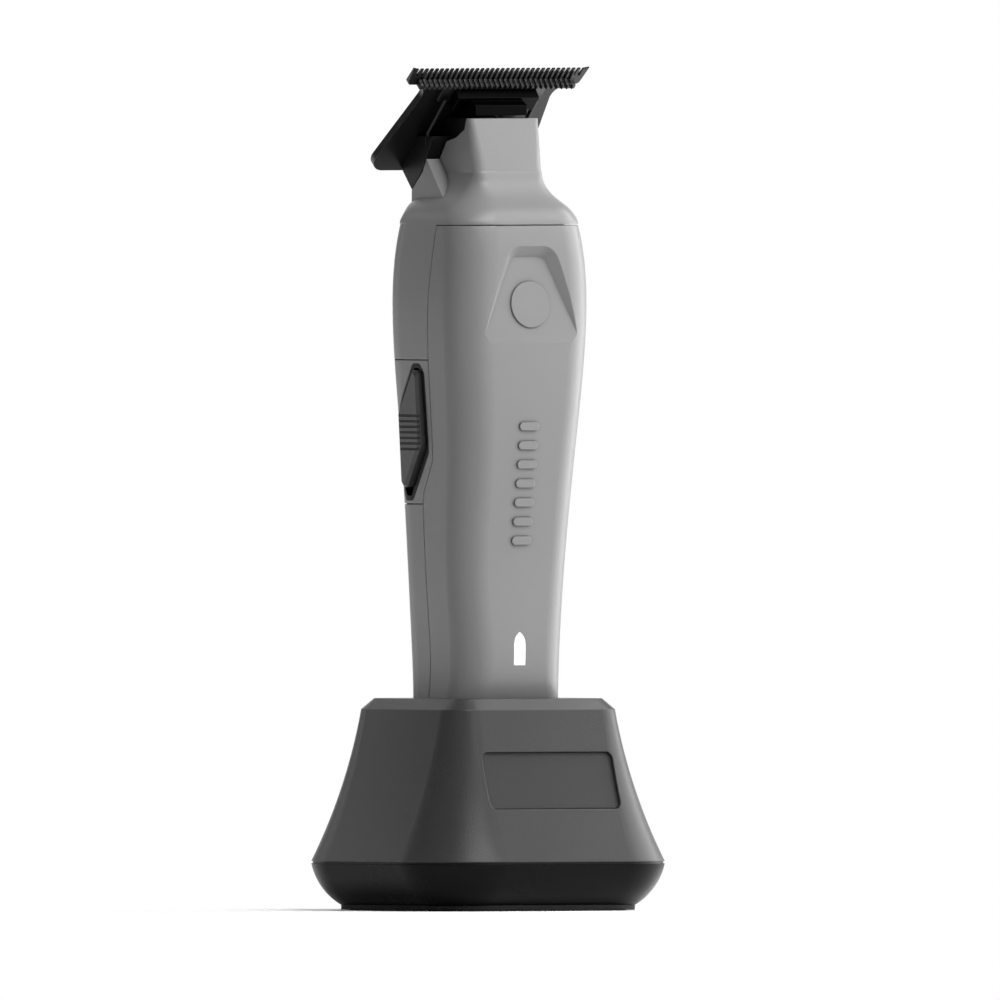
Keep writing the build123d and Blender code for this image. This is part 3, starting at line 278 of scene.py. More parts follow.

# %% [markdown]
# ## Charcoal shell and gloss tray of the dock
# The dock's shell is satin charcoal with a faint vertical flow from the mould, and its tray is
# polished black. Polish shows what satin hides, so the tray carries fine crossing scratches and a
# faint haze in its roughness.


# %% Dock finishes
def moulded_shell(name, level, roughness):
    """Satin moulding with faint vertical flow marks."""
    finish = Finish(name)
    rounded, edge = finish.edges(0.35 * MM)
    upright = finish.stretched((1.0, 1.0, 0.12))
    flow = finish.noise(24.0, detail=4.0, roughness=0.55, where=upright)
    grain = finish.noise(3600.0)
    base = finish.mix(flow, grey(level - 4), grey(level + 5))
    return finish.surface(
        # The edges are lighter: a painted highlight along them.
        Base_Color=finish.mix(edge * 0.6, base, grey(level + 30)),
        Roughness=roughness + (flow - 0.5) * 0.1 + (grain - 0.5) * 0.08 - edge * 0.08,
        Normal=finish.bump(grain, 0.04 * MM, rounded),
    )


def scratch_lines(finish, lean, scale):
    """Fine straight scratches across the surface, leaning one way."""
    sockets = {"Vector": finish.place, "Rotation": (0.3, lean, lean), "Scale": (1, 0.02, 1)}
    turned = finish.node("Mapping", {}, sockets)
    return finish.band(finish.noise(scale, detail=1.0, where=turned), 0.7, 0.74)


def polished_black(name, level, roughness, shine):
    """Glossy black plastic with hairline scratches."""
    finish = Finish(name)
    rounded, edge = finish.edges(0.25 * MM)
    scratches = scratch_lines(finish, 0.9, 1900.0) + scratch_lines(finish, -0.6, 1500.0)
    haze = finish.noise(30.0, detail=4.0, roughness=0.6)
    return finish.surface(
        # The edges are lighter: a painted highlight along them.
        Base_Color=finish.mix(edge * 0.4, grey(level), grey(level + 34)),
        Roughness=roughness + haze * 0.08 + scratches * 0.12,
        Normal=finish.bump(scratches, -0.004 * MM, rounded),
        Specular_IOR_Level=shine,
    )


dock_satin = moulded_shell("dock_satin", 71, 0.33)
label_black = moulded_shell("label_black", 52, 0.5)
dock_gloss = polished_black("dock_gloss", 3, 0.24, shine=0.1)

# %% [markdown]
# ## Steels of the blade set
# Blades are ground steel under a thin black coating. Grinding runs along the slope of the blade,
# so a noise squeezed across and stretched along it gives the lines. The coating wears through on
# the sharp edges, where the edge mask brings the bare steel back and turns the surface metallic.


# %% Blade steels
def ground_steel(name, level, roughness, wear, bare=165):
    """Ground metal with a dark coating that is worn off its edges."""
    finish = Finish(name)
    rounded, edge = finish.edges(0.12 * MM)
    along = finish.stretched((1.0, 0.05, 0.05))
    lines = finish.noise(1400.0, detail=3.0, roughness=0.6, where=along)
    patches = finish.band(finish.noise(420.0, detail=4.0, roughness=0.6), 0.4, 0.7)
    worn = (edge * patches * wear).clamped()
    base = finish.mix(lines, grey(level - 5), grey(level + 5))
    return finish.surface(
        Base_Color=finish.mix(worn, base, grey(bare)),
        Metallic=0.55 + worn * 0.45,
        Roughness=roughness + (lines - 0.5) * 0.16,
        Normal=finish.bump(lines, 0.01 * MM, rounded),
    )


blade_black = ground_steel("blade_black", 36, 0.36, 0.5)
black_steel = ground_steel("black_steel", 26, 0.36, 0.6)
plain_steel = ground_steel("plain_steel", 150, 0.3, 0.3, bare=190)

# %% [markdown]
# ## Small finishes inside the trimmer and the dock
# The parts that only show when a cover is taken off still get a real finish: brass contacts that
# have dulled, a green circuit board with its woven glass showing through, and the shrink sleeve
# of the battery. The lamp's lens glows, so it is the one finish that emits light.


# %% Inner finishes
def dulled_brass(name):
    """Bare brass that has dulled in patches."""
    finish = Finish(name)
    rounded, edge = finish.edges(0.1 * MM)
    dull = finish.noise(700.0, detail=4.0, roughness=0.6)
    return finish.surface(
        Base_Color=finish.mix(dull, tint(206, 170, 98), tint(166, 128, 70)),
        Metallic=1.0,
        Roughness=0.24 + dull * 0.22 - edge * 0.08,
        Normal=rounded,
    )


def woven_board(name):
    """Green board with copper areas under the lacquer and the weave of its glass."""
    finish = Finish(name)
    weave = finish.node("TexBrick", {}, {"Vector": finish.place, "Scale": 900.0}, "Fac")
    copper = finish.band(finish.noise(260.0, detail=1.0), 0.5, 0.53)
    return finish.surface(
        Base_Color=finish.mix(copper, tint(20, 70, 42), tint(30, 96, 56)),
        Roughness=0.34 + weave * 0.1,
        Normal=finish.bump(copper + weave * 0.2, 0.04 * MM),
    )


def shrink_sleeve(name):
    """Blue shrink sleeve with upright wrinkles."""
    finish = Finish(name)
    upright = finish.stretched((1.0, 1.0, 0.2))
    wrinkle = finish.noise(90.0, detail=4.0, roughness=0.6, where=upright)
    return finish.surface(
        Base_Color=finish.mix(wrinkle, tint(28, 66, 120), tint(38, 84, 148)),
        Roughness=0.28 + wrinkle * 0.14,
        Normal=finish.bump(wrinkle, 0.2 * MM),
    )


def lit_lens(name, strength):
    """A glowing lens with a dark rim."""
    finish = Finish(name)
    rounded, rim = finish.edges(0.7 * MM)
    glow = finish.noise(300.0, detail=1.0)
    return finish.surface(
        Base_Color=finish.mix(rim, finish.mix(glow, grey(236), grey(244)), grey(18)),
        Roughness=0.2 + glow * 0.06,
        Normal=rounded,
        Emission_Color=finish.mix(rim, finish.mix(glow, grey(250), grey(255)), grey(0)),
        Emission_Strength=strength,
    )


contact_brass = dulled_brass("contact_brass")
circuit_board = woven_board("circuit_board")
cell_sleeve = shrink_sleeve("cell_sleeve")
lens_white = lit_lens("lens_white", 0.9)
lamp_white = lit_lens("lamp_white", 0.3)

# %% [markdown]
# ## Dressing the CAD parts
# The record lists a material slot for each part. A dictionary from slot to finish dresses every
# part that stays a CAD mesh in one loop, and keeps both descriptions in step.

# %% Give each CAD part its finish
slot_finishes = {
    "body_grey": body_grey,
    "switch_grey": switch_grey,
    "black_plastic": black_plastic,
    "foot_rubber": foot_rubber,
    "dock_satin": dock_satin,
    "label_black": label_black,
    "dock_gloss": dock_gloss,
    "black_gloss": bezel_black,
    "blade_black": blade_black,
    "black_steel": black_steel,
    "plain_steel": plain_steel,
    "contact_brass": contact_brass,
    "circuit_board": circuit_board,
    "cell_sleeve": cell_sleeve,
    "lens_white": lens_white,
    "lamp_white": lamp_white,
}
slots = {part["node"]: part["material_slot"] for part in frame["record"]["subparts"]}
for name, part in nodes.items():
    part.data.materials.clear()
    part.data.materials.append(slot_finishes[slots[name]])
print("dressed parts:", len(slots))

# %% [markdown]
# ## Pieces made in Blender
# A few parts are made again here with the detail that CAD leaves out. Each is worked out in a
# handy place, such as flat on the blade's own plane in millimetres, and its finished mesh is then
# moved to where the part sits, so that the object itself stays at the origin.


# %% Helpers for meshes
CRISP_ANGLE = math.radians(35)


def mesh_of(shape, name):
    """Turns a bmesh into a mesh with smooth faces and crisp edges."""
    bmesh.ops.recalc_face_normals(shape, faces=shape.faces)
    made = bpy.data.meshes.new(name)
    shape.to_mesh(made)
    shape.free()
    made.shade_smooth()
    made.set_sharp_from_angle(angle=CRISP_ANGLE)
    return made


def joined(name, *meshes):
    """One mesh out of several."""
    whole = bmesh.new()
    for mesh in meshes:
        whole.from_mesh(mesh)
        bpy.data.meshes.remove(mesh)
    made = bpy.data.meshes.new(name)
    whole.to_mesh(made)
    whole.free()
    return made


def piece(name, mesh, body, slot, *replaced, finish=None):
    """Puts a finished mesh into the scene, on its body, in place of CAD parts."""
    mesh.materials.clear()
    mesh.materials.append(finish or slot_finishes[slot])
    made = bpy.data.objects.new(name, mesh)
    bpy.context.collection.objects.link(made)
    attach(made, body)
    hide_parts(*replaced)
    print(name, "faces:", len(mesh.polygons))


def thicken(shape, faces, lift):
    """Gives flat faces a thickness, by a copy of them that is moved by lift."""
    raised = bmesh.ops.extrude_face_region(shape, geom=faces)["geom"]
    lifted = [item for item in raised if isinstance(item, bmesh.types.BMVert)]
    bmesh.ops.translate(shape, verts=lifted, vec=lift)


def bridge(shape, first, second):
    """The wall between two rings with as many corners."""
    for index in range(len(first)):
        after = (index + 1) % len(first)
        shape.faces.new((first[index], first[after], second[after], second[index]))


def prism(outline, low, high, bevel):
    """A plate with this (x, y) outline between two heights, its edges softened."""
    shape = bmesh.new()
    base = shape.faces.new([shape.verts.new((x, y, low)) for x, y in outline])
    thicken(shape, [base], (0, 0, high - low))
    bmesh.ops.bevel(
        shape, geom=shape.edges[:], offset=bevel, segments=2, affect="EDGES", profile=0.5
    )
    return shape


# %% [markdown]
# ## A row of anything
# Teeth, ribs and screws are one shape repeated at an even step. A Geometry Nodes tree does that:
# a line of points, one copy on each point, and copies made real at the end. Its inputs are named
# sizes, so the same tree serves every row. The modifier is evaluated once into a plain mesh.


# %% The row recipe
class Recipe(Builder):
    """A Geometry Nodes tree under construction, with named inputs for its sizes."""

    def __init__(self, name, **sizes):
        self.tree = bpy.data.node_groups.new(name, "GeometryNodeTree")
        sides = self.tree.interface
        sides.new_socket("Shape", in_out="INPUT", socket_type="NodeSocketGeometry")
        sides.new_socket("Result", in_out="OUTPUT", socket_type="NodeSocketGeometry")
        for size, kind in sizes.items():
            sides.new_socket(size, in_out="INPUT", socket_type="NodeSocket" + kind)
        self.start = self.tree.nodes.new("NodeGroupInput")

    def given(self, name):
        return Wire(self, self.start.outputs[name])

    def finish(self, geometry):
        """Makes copies real and gives them the row's finish."""
        real = self.node("GeometryNodeRealizeInstances", {}, {"Geometry": geometry})
        sockets = {"Geometry": real, "Material": self.given("Finish")}
        dressed = self.node("GeometryNodeSetMaterial", {}, sockets)
        end = self.tree.nodes.new("NodeGroupOutput")
        self.tree.links.new(dressed.socket, end.inputs["Result"])


row = Recipe("row", Count="Int", Start="Vector", Step="Vector", Finish="Material")
points = row.node(
    "GeometryNodeMeshLine",
    {"mode": "OFFSET"},
    {
        "Count": row.given("Count"),
        "Start Location": row.given("Start"),
        "Offset": row.given("Step"),
    },
)
copies = row.node(
    "GeometryNodeInstanceOnPoints", {}, {"Points": points, "Instance": row.given("Shape")}
)
row.finish(copies)


def repeated(recipe, shape, slot, **sizes):
    """The mesh that a recipe makes of a shape."""
    holder = bpy.data.objects.new("being_made", shape)
    bpy.context.collection.objects.link(holder)
    modifier = holder.modifiers.new("recipe", "NODES")
    modifier.node_group = recipe.tree
    values = {**sizes, "Finish": slot_finishes[slot]}
    for socket in recipe.tree.interface.items_tree:
        if socket.in_out == "INPUT" and socket.name in values:
            modifier[socket.identifier] = values[socket.name]
    evaluated = holder.evaluated_get(bpy.context.evaluated_depsgraph_get())
    made = bpy.data.meshes.new_from_object(evaluated)
    holder.modifiers.remove(modifier)
    bpy.data.objects.remove(holder)
    bpy.data.meshes.remove(shape)
    return made


print("row recipe inputs:", [item.name for item in row.tree.interface.items_tree])

# %% [markdown]
# ## The moving cutter
# The cutter is a small T of steel that slides across the fixed blade. Its teeth are thin where
# they cut and turn outwards behind the cutting zone into rounded ribs, which stiffen them and
# lead the hair in. One tooth is built as a stack of stations along its length. Each station says
# how high the tooth stands, how wide it is and how strongly its top corners are rounded.

# %% Blade plane and one cutter tooth, in millimetres
# The blade's plane in the CAD model. On it, x runs across, y down the slope and z outwards.
BLADE_TILT = math.radians(44.0)
BLADE_TIP = Vector((0.0, -4.95, 180.9))
lean, drop = math.sin(BLADE_TILT), math.cos(BLADE_TILT)
in_mm = Matrix.Scale(MM, 4)
blade_place = in_mm @ Matrix.Translation(BLADE_TIP) @ Matrix((
    (-1, 0, 0, 0), (0, lean, -drop, 0), (0, -drop, -lean, 0), (0, 0, 0, 1)
))
TOOTH_PITCH = 1.326
CUTTER_TEETH = 30
CLEARANCE = 0.05
tooth_stations = [
    # reach, height, half width, rounding
    (0.70, 0.22, 0.10, 0.05),
    (0.78, 0.36, 0.20, 0.08),
    (1.00, 0.44, 0.29, 0.10),
    (1.70, 0.52, 0.32, 0.12),
    (2.42, 0.62, 0.33, 0.13),
    (2.56, 0.90, 0.33, 0.16),
    (2.70, 1.55, 0.33, 0.20),
    (2.80, 2.05, 0.33, 0.22),
    (3.00, 2.34, 0.31, 0.22),
    (3.35, 2.42, 0.28, 0.20),
    (3.90, 2.34, 0.20, 0.14),
]


def tooth_shape(stations, bottom):
    """A tooth lofted through its stations, with rounded shoulders."""
    shape = bmesh.new()
    rings = []
    for reach, height, half, soft in stations:
        shoulder = [
            (half, height - soft), (half - soft * 0.4, height - soft * 0.3), (half - soft, height)
        ]
        mirrored = [(-x, z) for x, z in reversed(shoulder)]
        section = [(-half, bottom), (half, bottom)] + shoulder + mirrored
        rings.append([shape.verts.new((x, reach, z)) for x, z in section])
    for first, second in zip(rings, rings[1:]):
        bridge(shape, first, second)
    shape.faces.new(rings[0])
    shape.faces.new(rings[-1])
    return shape


cutter_tooth = mesh_of(tooth_shape(tooth_stations, CLEARANCE), "cutter_tooth")
print("faces of one tooth:", len(cutter_tooth.polygons))

# %% Cutter bar and body, in millimetres
BAR_HALF, BODY_HALF = 20.3, 13.4
BODY_FRONT, BODY_BACK, BODY_CORNER, BODY_THICKNESS = 4.3, 8.6, 0.4, 1.2
bar_profile = [
    (2.80, CLEARANCE), (2.80, 0.30), (2.98, 0.50), (3.10, 1.15), (3.24, 1.62), (3.45, 1.80),
    (4.20, 1.80), (4.34, 1.65), (4.34, CLEARANCE),
]
bar = prism(bar_profile, -BAR_HALF, BAR_HALF, 0.04)
bmesh.ops.transform(bar, verts=bar.verts, matrix=Matrix((
    (0, 0, 1, 0), (1, 0, 0, 0), (0, 1, 0, 0), (0, 0, 0, 1)
)))
body_outline = [
    (-BODY_HALF, BODY_FRONT),
    (BODY_HALF, BODY_FRONT),
    (BODY_HALF, BODY_BACK - BODY_CORNER),
    (BODY_HALF - BODY_CORNER, BODY_BACK),
    (BODY_CORNER - BODY_HALF, BODY_BACK),
    (-BODY_HALF, BODY_BACK - BODY_CORNER),
]
cutter_body = prism(body_outline, CLEARANCE, CLEARANCE + BODY_THICKNESS, 0.1)
teeth = repeated(
    row, cutter_tooth, "blade_black", Count=CUTTER_TEETH,
    Start=((1 - CUTTER_TEETH) / 2 * TOOTH_PITCH, 0.0, 0.0), Step=(TOOTH_PITCH, 0.0, 0.0),
)
cutter_mesh = joined(
    "cutter_blade_ribbed", teeth, mesh_of(bar, "bar"), mesh_of(cutter_body, "body")
)
cutter_mesh.transform(blade_place)
piece("cutter_blade_ribbed", cutter_mesh, "cutter", "blade_black", "cutter_blade")
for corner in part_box("cutter_blade"):
    print("corner of the CAD cutter's box in mm:", [round(value / MM, 2) for value in corner])

# %% [markdown]
# ## Cross-head screws
# A screw head is turned: a flat bearing face, a thin rim and a shallow dome, with a cross pressed
# into the middle. The profile is spun round the axis, the cross is cut out of the top as a fan of
# faces between two outlines, and its walls taper down to a small floor.


# %% One screw
HEAD_RADIUS, SHANK_RADIUS = 2.2, 1.2
CROSS_ARM, CROSS_WING, CROSS_TAPER = 1.3, 0.35, 0.7
SCREW_SIDES = 32


def screw_shape(head_height, shank_length, deep):
    """A screw in millimetres that points down from its head's bearing face at height 0."""
    shape = bmesh.new()
    profile = [
        # radius, height
        (SHANK_RADIUS * 0.7, -shank_length),
        (SHANK_RADIUS, 0.4 - shank_length),
        (SHANK_RADIUS, 0.0),
        (HEAD_RADIUS - 0.1, 0.0),
        (HEAD_RADIUS, 0.1),
        (HEAD_RADIUS, head_height * 0.55),
        (HEAD_RADIUS - 0.12, head_height * 0.78),
        (HEAD_RADIUS - 0.45, head_height * 0.95),
    ]
    turns = [2 * math.pi * side / SCREW_SIDES for side in range(SCREW_SIDES)]
    rings = []
    for radius, height in profile:
        ring = [(radius * math.cos(turn), radius * math.sin(turn), height) for turn in turns]
        rings.append([shape.verts.new(corner) for corner in ring])
    shape.faces.new(rings[0])
    for first, second in zip(rings, rings[1:]):
        bridge(shape, first, second)
    cross = []
    for quarter in range(4):
        turn = Matrix.Rotation(quarter * math.pi / 2, 3, "Z")
        for x, y in ((CROSS_ARM, -CROSS_WING), (CROSS_ARM, CROSS_WING), (CROSS_WING, CROSS_WING)):
            cross.append(turn @ Vector((x, y, head_height)))
    mouth = [shape.verts.new(corner) for corner in cross]
    top = rings[-1]
    rim = [shape.edges.get(pair) for pair in zip(top, top[1:] + top[:1])]
    lips = [shape.edges.new(pair) for pair in zip(mouth, mouth[1:] + mouth[:1])]
    bmesh.ops.triangle_fill(shape, use_beauty=True, edges=rim + lips)
    base = [
        shape.verts.new((corner.x * CROSS_TAPER, corner.y * CROSS_TAPER, head_height - deep))
        for corner in cross
    ]
    bridge(shape, mouth, base)
    shape.faces.new(base)
    return shape


# %% Blade screws, housing screws and dock screws
HEAD_HEIGHT, BLADE_HEAD_HEIGHT = 1.6, 1.0
BLADE_SCREW_SEAT = (0, 22.0, -1.6)


def screw_rows(name, body, node, place, gap, head_height, shank_length, deep, others=(0.0,)):
    """Rows of two screws, a gap apart, at each of the other places across the row."""
    rows = []
    for other in others:
        screw = mesh_of(screw_shape(head_height, shank_length, deep), "screw")
        rows.append(repeated(
            row, screw, "black_steel", Count=2,
            Start=(-gap / 2, other, 0.0), Step=(gap, 0.0, 0.0),
        ))
    screws = joined(name, *rows)
    screws.transform(place)
    piece(name, screws, body, "black_steel", node)


turned_over = Matrix.Rotation(math.pi, 4, "X")
facing_back = Matrix.Rotation(-math.pi / 2, 4, "X")
screw_rows(
    "blade_screws_crossed", "trimmer", "blade_screws",
    blade_place @ Matrix.Translation(BLADE_SCREW_SEAT) @ turned_over,
    gap=13.0, head_height=BLADE_HEAD_HEIGHT, shank_length=6.0, deep=0.6,
)
low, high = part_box("housing_screws")
head_seat = Vector((0, high.y - HEAD_HEIGHT * MM, (low.z + high.z) / 2))
screw_rows(
    "housing_screws_crossed", "trimmer", "housing_screws",
    Matrix.Translation(head_seat) @ in_mm @ facing_back,
    gap=19.2, head_height=HEAD_HEIGHT, shank_length=14.0, deep=1.0,
)
low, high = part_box("dock_screws")
head_seat = Vector((0, 0, low.z + HEAD_HEIGHT * MM))
screw_rows(
    "dock_screws_crossed", "dock", "dock_screws",
    Matrix.Translation(head_seat) @ in_mm @ turned_over,
    gap=28.0, head_height=HEAD_HEIGHT, shank_length=(high.z - low.z) / MM - HEAD_HEIGHT,
    deep=1.0, others=(-20.0, 20.0),
)

# %% [markdown]
# ## The saddle on the cutter
# The saddle is a small moulding that presses on the cutter and carries the slot of the drive. Its
# shape is right in CAD, but its edges are knife sharp. A merged copy is given real rounded edges,
# because a moulded edge catches a line of light that a sharp one can't.


# %% Rounded copies of CAD parts
MERGE_DISTANCE = 0.001 * MM
FLAT_ANGLE = math.radians(2)
SHARP_ANGLE = math.radians(30)
FILLET_ANGLE = math.radians(28)


def merged_copy(node):
    """A CAD part as a bmesh, its loose triangles merged into one skin."""
    shape = bmesh.new()
    shape.from_mesh(nodes[node].data)
    bmesh.ops.remove_doubles(shape, verts=shape.verts, dist=MERGE_DISTANCE)
    return shape


def evenly_shaded(shape, name):
    """A mesh whose large faces set the shading, so that small fillets don't smear into them."""
    rough = bpy.data.meshes.new("rough")
    shape.to_mesh(rough)
    shape.free()
    rough.shade_smooth()
    rough.set_sharp_from_angle(angle=FILLET_ANGLE)
    holder = bpy.data.objects.new("being_shaded", rough)
    bpy.context.collection.objects.link(holder)
    weighted = holder.modifiers.new("weighted", "WEIGHTED_NORMAL")
    weighted.keep_sharp = True
    weighted.weight = 100
    made = bpy.data.meshes.new_from_object(
        holder.evaluated_get(bpy.context.evaluated_depsgraph_get())
    )
    bpy.data.objects.remove(holder)
    bpy.data.meshes.remove(rough)
    made.name = name
    return made


def rounded_copy(node, name, body, finish, radius):
    """A CAD part with its sharp edges rounded."""
    shape = merged_copy(node)
    bmesh.ops.dissolve_limit(
        shape, angle_limit=FLAT_ANGLE, verts=shape.verts, edges=shape.edges
    )
    sharp = [
        edge for edge in shape.edges
        if len(edge.link_faces) == 2 and edge.calc_face_angle(0.0) > SHARP_ANGLE
    ]
    bmesh.ops.bevel(
        shape, geom=sharp, offset=radius, segments=3, profile=0.5, affect="EDGES",
        clamp_overlap=True,
    )
    piece(name, evenly_shaded(shape, name), body, slots[node], node, finish=finish)


rounded_copy("cutter_yoke", "cutter_saddle", "cutter", saddle_plastic, 0.3 * MM)

# %% [markdown]
# ## Lip behind the cover seam
# The two covers meet with a thin gap, and light would pass through the trimmer from one side's
# seam to the other's. Real covers overlap in a lip. The front cover's meeting faces are copied,
# thickened across the gap and drawn in a little, so the seam stays a fine dark groove.


# %% The lip
LIP_THICKNESS = 0.19 * MM
LIP_DRAW_IN = 0.985
MEETING_FACE_X = 11 * MM
MEETING_FACE_Y = 3 * MM
MOST_SIDEWAYS, LEAST_BACKWARD = 0.02, 0.35


def keep_faces(shape, wanted):
    """Deletes every face that isn't wanted."""
    others = [face for face in shape.faces if not wanted(face)]
    bmesh.ops.delete(shape, geom=others, context="FACES")


def meets_rear_cover(face):
    """Whether a face of the front cover looks back across the seam, near its sides."""
    middle = face.calc_center_median()
    backward = abs(face.normal.x) <= MOST_SIDEWAYS and face.normal.y >= LEAST_BACKWARD
    return backward and abs(middle.x) >= MEETING_FACE_X and middle.y <= MEETING_FACE_Y


lip = merged_copy("front_cover")
lip.normal_update()
keep_faces(lip, meets_rear_cover)
thicken(lip, lip.faces[:], (0, LIP_THICKNESS, 0))
bmesh.ops.scale(lip, verts=lip.verts, vec=(LIP_DRAW_IN, 1, 1))
for axis, letter in enumerate("xyz"):
    places = [vert.co[axis] / MM for vert in lip.verts]
    print("lip along", letter, "in mm:", round(min(places), 2), "to", round(max(places), 2))
piece("cover_seam_lip", mesh_of(lip, "cover_seam_lip"), "trimmer", "black_plastic")

# %% [markdown]
# ## Dark strips of painted shade in the slider's grip grooves
# The grip grooves of the slider read as dark lines on the real thing, where shade falls in them,
# and thin dark strips stand in for that shade. The CAD slider already has the grooves, so their
# floors are found by depth below the slider's face, and each floor is raised into a thin dark
# strip that leaves the groove open.

# %% Strips of painted shade in the grooves
GROOVE_DEPTHS = (0.3 * MM, 0.6 * MM)
STRIP_HEIGHT = 0.15 * MM
LEAST_LIKENESS = 0.99

strips = merged_copy("switch_slider")
strips.normal_update()
looking_left = [face for face in strips.faces if face.normal.x < 0]
outward = max(looking_left, key=lambda face: face.calc_area()).normal.copy()
top = max(vert.co.dot(outward) for vert in strips.verts)


def is_groove_floor(face):
    """Whether a face looks outwards from the depth of a groove's floor."""
    depth = top - face.calc_center_median().dot(outward)
    alike = face.normal.dot(outward) >= LEAST_LIKENESS
    return alike and GROOVE_DEPTHS[0] < depth < GROOVE_DEPTHS[1]


keep_faces(strips, is_groove_floor)
print("groove floor faces:", len(strips.faces))
# The strips are painted shade: dark plastic where shade falls in the grooves.
thicken(strips, strips.faces[:], outward * STRIP_HEIGHT)
piece("slider_groove_shade_strips", mesh_of(strips, "slider_groove_shade_strips"), "slider", "black_plastic")

# %% [markdown]
# ## Bands that close the dock's gaps
# Light slips through the thin gap between shell and tray, and under the dock between its feet. A
# real dock has a sealing lip in the first. In the second, a dark rubber ring is painted shade
# under the dock. Each is a band whose outline is a level cut through the tray, drawn in a little,
# so it follows the rounded corners.


# %% Seal and floor ring
def width_of(outline):
    """How far an outline reaches from left to right."""
    across = [x for x, y in outline]
    return max(across) - min(across)


def cut_outline(node, height):
    """The widest loop of a level cut through a CAD part, as (x, y) corners in order."""
    shape = merged_copy(node)
    everything = shape.verts[:] + shape.edges[:] + shape.faces[:]
    cut = bmesh.ops.bisect_plane(
        shape, geom=everything, plane_co=(0, 0, height), plane_no=(0, 0, 1)
    )["geom_cut"]
    unused = [item for item in cut if isinstance(item, bmesh.types.BMEdge)]
    loops = []
    while unused:
        loop = list(unused.pop(0).verts)
        while True:
            onward = [edge for edge in loop[-1].link_edges if edge in unused]
            if not onward:
                break
            unused.remove(onward[0])
            loop.append(onward[0].other_vert(loop[-1]))
        loops.append([(vert.co.x, vert.co.y) for vert in loop[:-1]])
    shape.free()
    return max(loops, key=width_of)


def tray_band(name, slot, cut_height, low, high, inset, width):
    """A closed band inside the tray's outline, with its sizes in millimetres."""
    outline = cut_outline("dock_tray", cut_height * MM)
    middle_x = sum(x for x, y in outline) / len(outline)
    middle_y = sum(y for x, y in outline) / len(outline)
    reach = (max(x for x, y in outline) - middle_x) / MM
    outer, inner = 1 - inset / reach, 1 - (inset + width) / reach
    shape = bmesh.new()
    rings = []
    for scale, height in ((outer, low), (outer, high), (inner, high), (inner, low)):
        ring = [
            (middle_x + (x - middle_x) * scale, middle_y + (y - middle_y) * scale, height * MM)
            for x, y in outline
        ]
        rings.append([shape.verts.new(corner) for corner in ring])
    for ring, onward in zip(rings, rings[1:] + rings[:1]):
        bridge(shape, ring, onward)
    piece(name, mesh_of(shape, name), "dock", slot)


tray_band(
    "dock_seam_seal", "black_plastic", cut_height=10.0, low=10.0, high=10.65, inset=0.25, width=1.5
)
# Painted shade: a dark ring under the dock, where shade falls between the feet.
tray_band(
    "dock_underside_shade_ring", "foot_rubber", cut_height=1.6, low=0.15, high=1.4, inset=0.6, width=1.5
)

# %% [markdown]
# ## Floor, world and lights
# The object stands on a plain pale floor in a soft studio. Near the object the floor is a bright
# matte paper that takes the lights and so keeps the object's shadow. Further out it fades to a
# plain white glow. Only the eye and mirror-like rays see that brightness: for all other rays the
# floor is an ordinary pale grey, so the background adds no light to the object.

# %% Floor
FLOOR_HALF = 3.0
LIT_RADIUS, WHITE_RADIUS = 0.045, 0.1
FLOOR_GREY, PAPER_BRIGHTNESS = 225, 1.7
WHITE = (1.0, 1.0, 1.0, 1.0)
corners = [(-1, -1), (1, -1), (1, 1), (-1, 1)]
floor_mesh = bpy.data.meshes.new("floor")
floor_mesh.from_pydata(
    [(x * FLOOR_HALF, y * FLOOR_HALF, 0.0) for x, y in corners], [], [(0, 1, 2, 3)]
)
floor = bpy.data.objects.new("floor", floor_mesh)
bpy.context.collection.objects.link(floor)
paper = Finish("pale_floor")
seen = (paper.is_ray("Camera") + paper.is_ray("Glossy") + paper.is_ray("Transmission")).clamped()
distance = paper.node("VectorMath", {"operation": "LENGTH"}, {0: paper.place}, "Value")
far = paper.band(distance, LIT_RADIUS, WHITE_RADIUS)
plain = paper.node("BsdfDiffuse", {}, {"Color": grey(FLOOR_GREY)})
bright = paper.node("BsdfDiffuse", {}, {"Color": (PAPER_BRIGHTNESS,) * 3 + (1.0,)})
blank = paper.node("Emission", {}, {"Color": WHITE, "Strength": 1.0})
shown = paper.node("MixShader", {}, {0: far, 1: bright, 2: blank})
paper.end_in(paper.node("MixShader", {}, {0: seen, 1: plain, 2: shown}))
floor_mesh.materials.append(paper.material)
floor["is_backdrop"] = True
print("floor: light and shadow up to", LIT_RADIUS, "m, plain white beyond", WHITE_RADIUS, "m")

# %% [markdown]
# The world is the rest of the studio. The eye sees plain white all round. Mirror-like rays see
# white too, but only towards the paper backdrop behind the object; the room in front is dim, and
# that is what keeps the black parts black.

# %% World
ROOM_LIGHT = 0.13
# The way from the camera to the backdrop, and how like it a direction is at the backdrop's edge.
BACKDROP_MIDDLE = (0.574, 0.819, 0.0)
BACKDROP_EDGE = (0.85, 0.98)
world = bpy.data.worlds.new("studio")
bpy.context.scene.world = world
world.use_nodes = True


class Room(Builder):
    """The same node maths, but in the world's tree."""

    def __init__(self, made):
        self.tree = made.node_tree
        self.tree.nodes.clear()

    def end_in(self, shader):
        end = self.tree.nodes.new("ShaderNodeOutputWorld")
        self.tree.links.new(shader.socket, end.inputs["Surface"])


